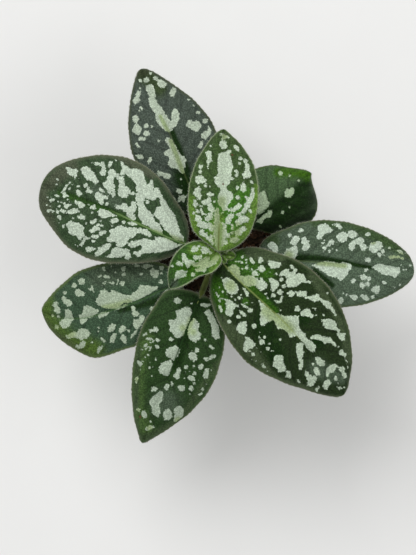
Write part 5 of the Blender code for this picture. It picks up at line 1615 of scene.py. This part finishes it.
def make_leaves(under, stalk, young_stalk_painted_lit, draw):
    """The rosette's leaves and the tiny ones in its crown.  Returns their blades."""
    waves = random.Random(WAVE_SEED)
    blades = []
    for name, row in LEAVES.items():
        young = "young" in name
        radius = YOUNG_PETIOLE_RADIUS if young else PETIOLE_RADIUS
        # Young stalks and those listed get the green lightened as painted light
        skin = young_stalk_painted_lit if young or name in STALKS_PAINTED_LIT else stalk
        finishes = (leaf_face_material(name, TONES[name]), under, skin)
        made, blade = make_leaf(name, row, waves.uniform(0, 2 * math.pi), radius, finishes, draw)
        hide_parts(name)
        blades.append(blade)
    finishes = (leaf_face_material("crown", TONES["crown"]), under, young_stalk_painted_lit)
    for name, row in CROWN_LEAVES.items():
        made, blade = make_leaf(name, row, 0, CROWN_PETIOLE_RADIUS, finishes, draw)
        blades.append(blade)
    return blades


def make_plant():
    """Leaves, crown, stem and their hairs."""
    under = leaf_under_material()
    stalk = stalk_material("stalk", PETIOLE, PETIOLE_LIGHT)
    young_stalk_painted_lit = stalk_material("young_stalk_painted_lit", YOUNG_PETIOLE_PAINTED_LIT, YOUNG_PETIOLE_PAINTED_LIT_PALER)
    hair = mottled_material("hair", HAIR_DARK, HAIR, 2 * MM, 0.7, 0.2)
    velvet = mottled_material("velvet", VELVET_DARK, VELVET, 2 * MM, 0.7, 0.1)
    draw = np.random.default_rng(LEAF_SEED)
    blades = make_leaves(under, stalk, young_stalk_painted_lit, draw)
    bare_stem = make_stem(stalk)
    strew("hairs_face", [skin_hairs(b.upper, 1, FACE_HAIRS, FACE_HAIR, draw) for b in blades], velvet)
    strew("hairs_under", [skin_hairs(b.lower, -1, UNDER_HAIRS, FACE_HAIR, draw) for b in blades], hair)
    strew("hairs_margin", [margin_hairs(b, draw) for b in blades], hair)
    stalks = [b.path[:PETIOLE_STEPS] for b in blades] + [bare_stem]
    strew("hairs_stalk", [stalk_hairs(path, STALK_HAIRS, draw) for path in stalks], velvet)


def make_camera():
    """Looks straight down, with the photograph's scale at the height of the leaves."""
    data = bpy.data.cameras.new("camera")
    distance = CAMERA_HEIGHT - LEAF_LEVEL
    view_height = PHOTO_HEIGHT_PX * MM_PER_PX * MM
    data.lens = data.sensor_width * distance / view_height
    camera = put_in_scene("camera", data)
    camera.location = (CAMERA_X, CAMERA_Y, CAMERA_HEIGHT)
    bpy.context.scene.camera = camera


def make_floor():
    bpy.ops.mesh.primitive_plane_add(size=FLOOR_SIZE)
    floor = bpy.context.object
    floor.name = "floor"
    floor.data.materials.append(mottled_material("floor", FLOOR_DARK, FLOOR_LIGHT, 200 * MM, 0.9, 0.1))


def add_light(name, place, size, power):
    """A round lamp that faces the leaves."""
    data = bpy.data.lights.new(name, "AREA")
    data.shape = "DISK"
    data.size = size
    data.energy = power
    light = put_in_scene(name, data)
    light.location = place
    light.rotation_mode = "QUATERNION"
    light.rotation_quaternion = (Vector(place) - Vector((0, 0, LEAF_LEVEL))).to_track_quat("Z", "Y")


def make_lights():
    for name, settings in LIGHTS.items():
        add_light(name, **settings)
    world = bpy.data.worlds.new("studio")
    world.use_nodes = True
    background = world.node_tree.nodes["Background"]
    background.inputs["Color"].default_value = (1, 1, 1, 1)
    background.inputs["Strength"].default_value = WORLD_STRENGTH
    bpy.context.scene.world = world
    bpy.context.scene.view_settings.view_transform = "Standard"


make_camera()
make_floor()
make_lights()
make_pot()
make_soil()
make_plant()
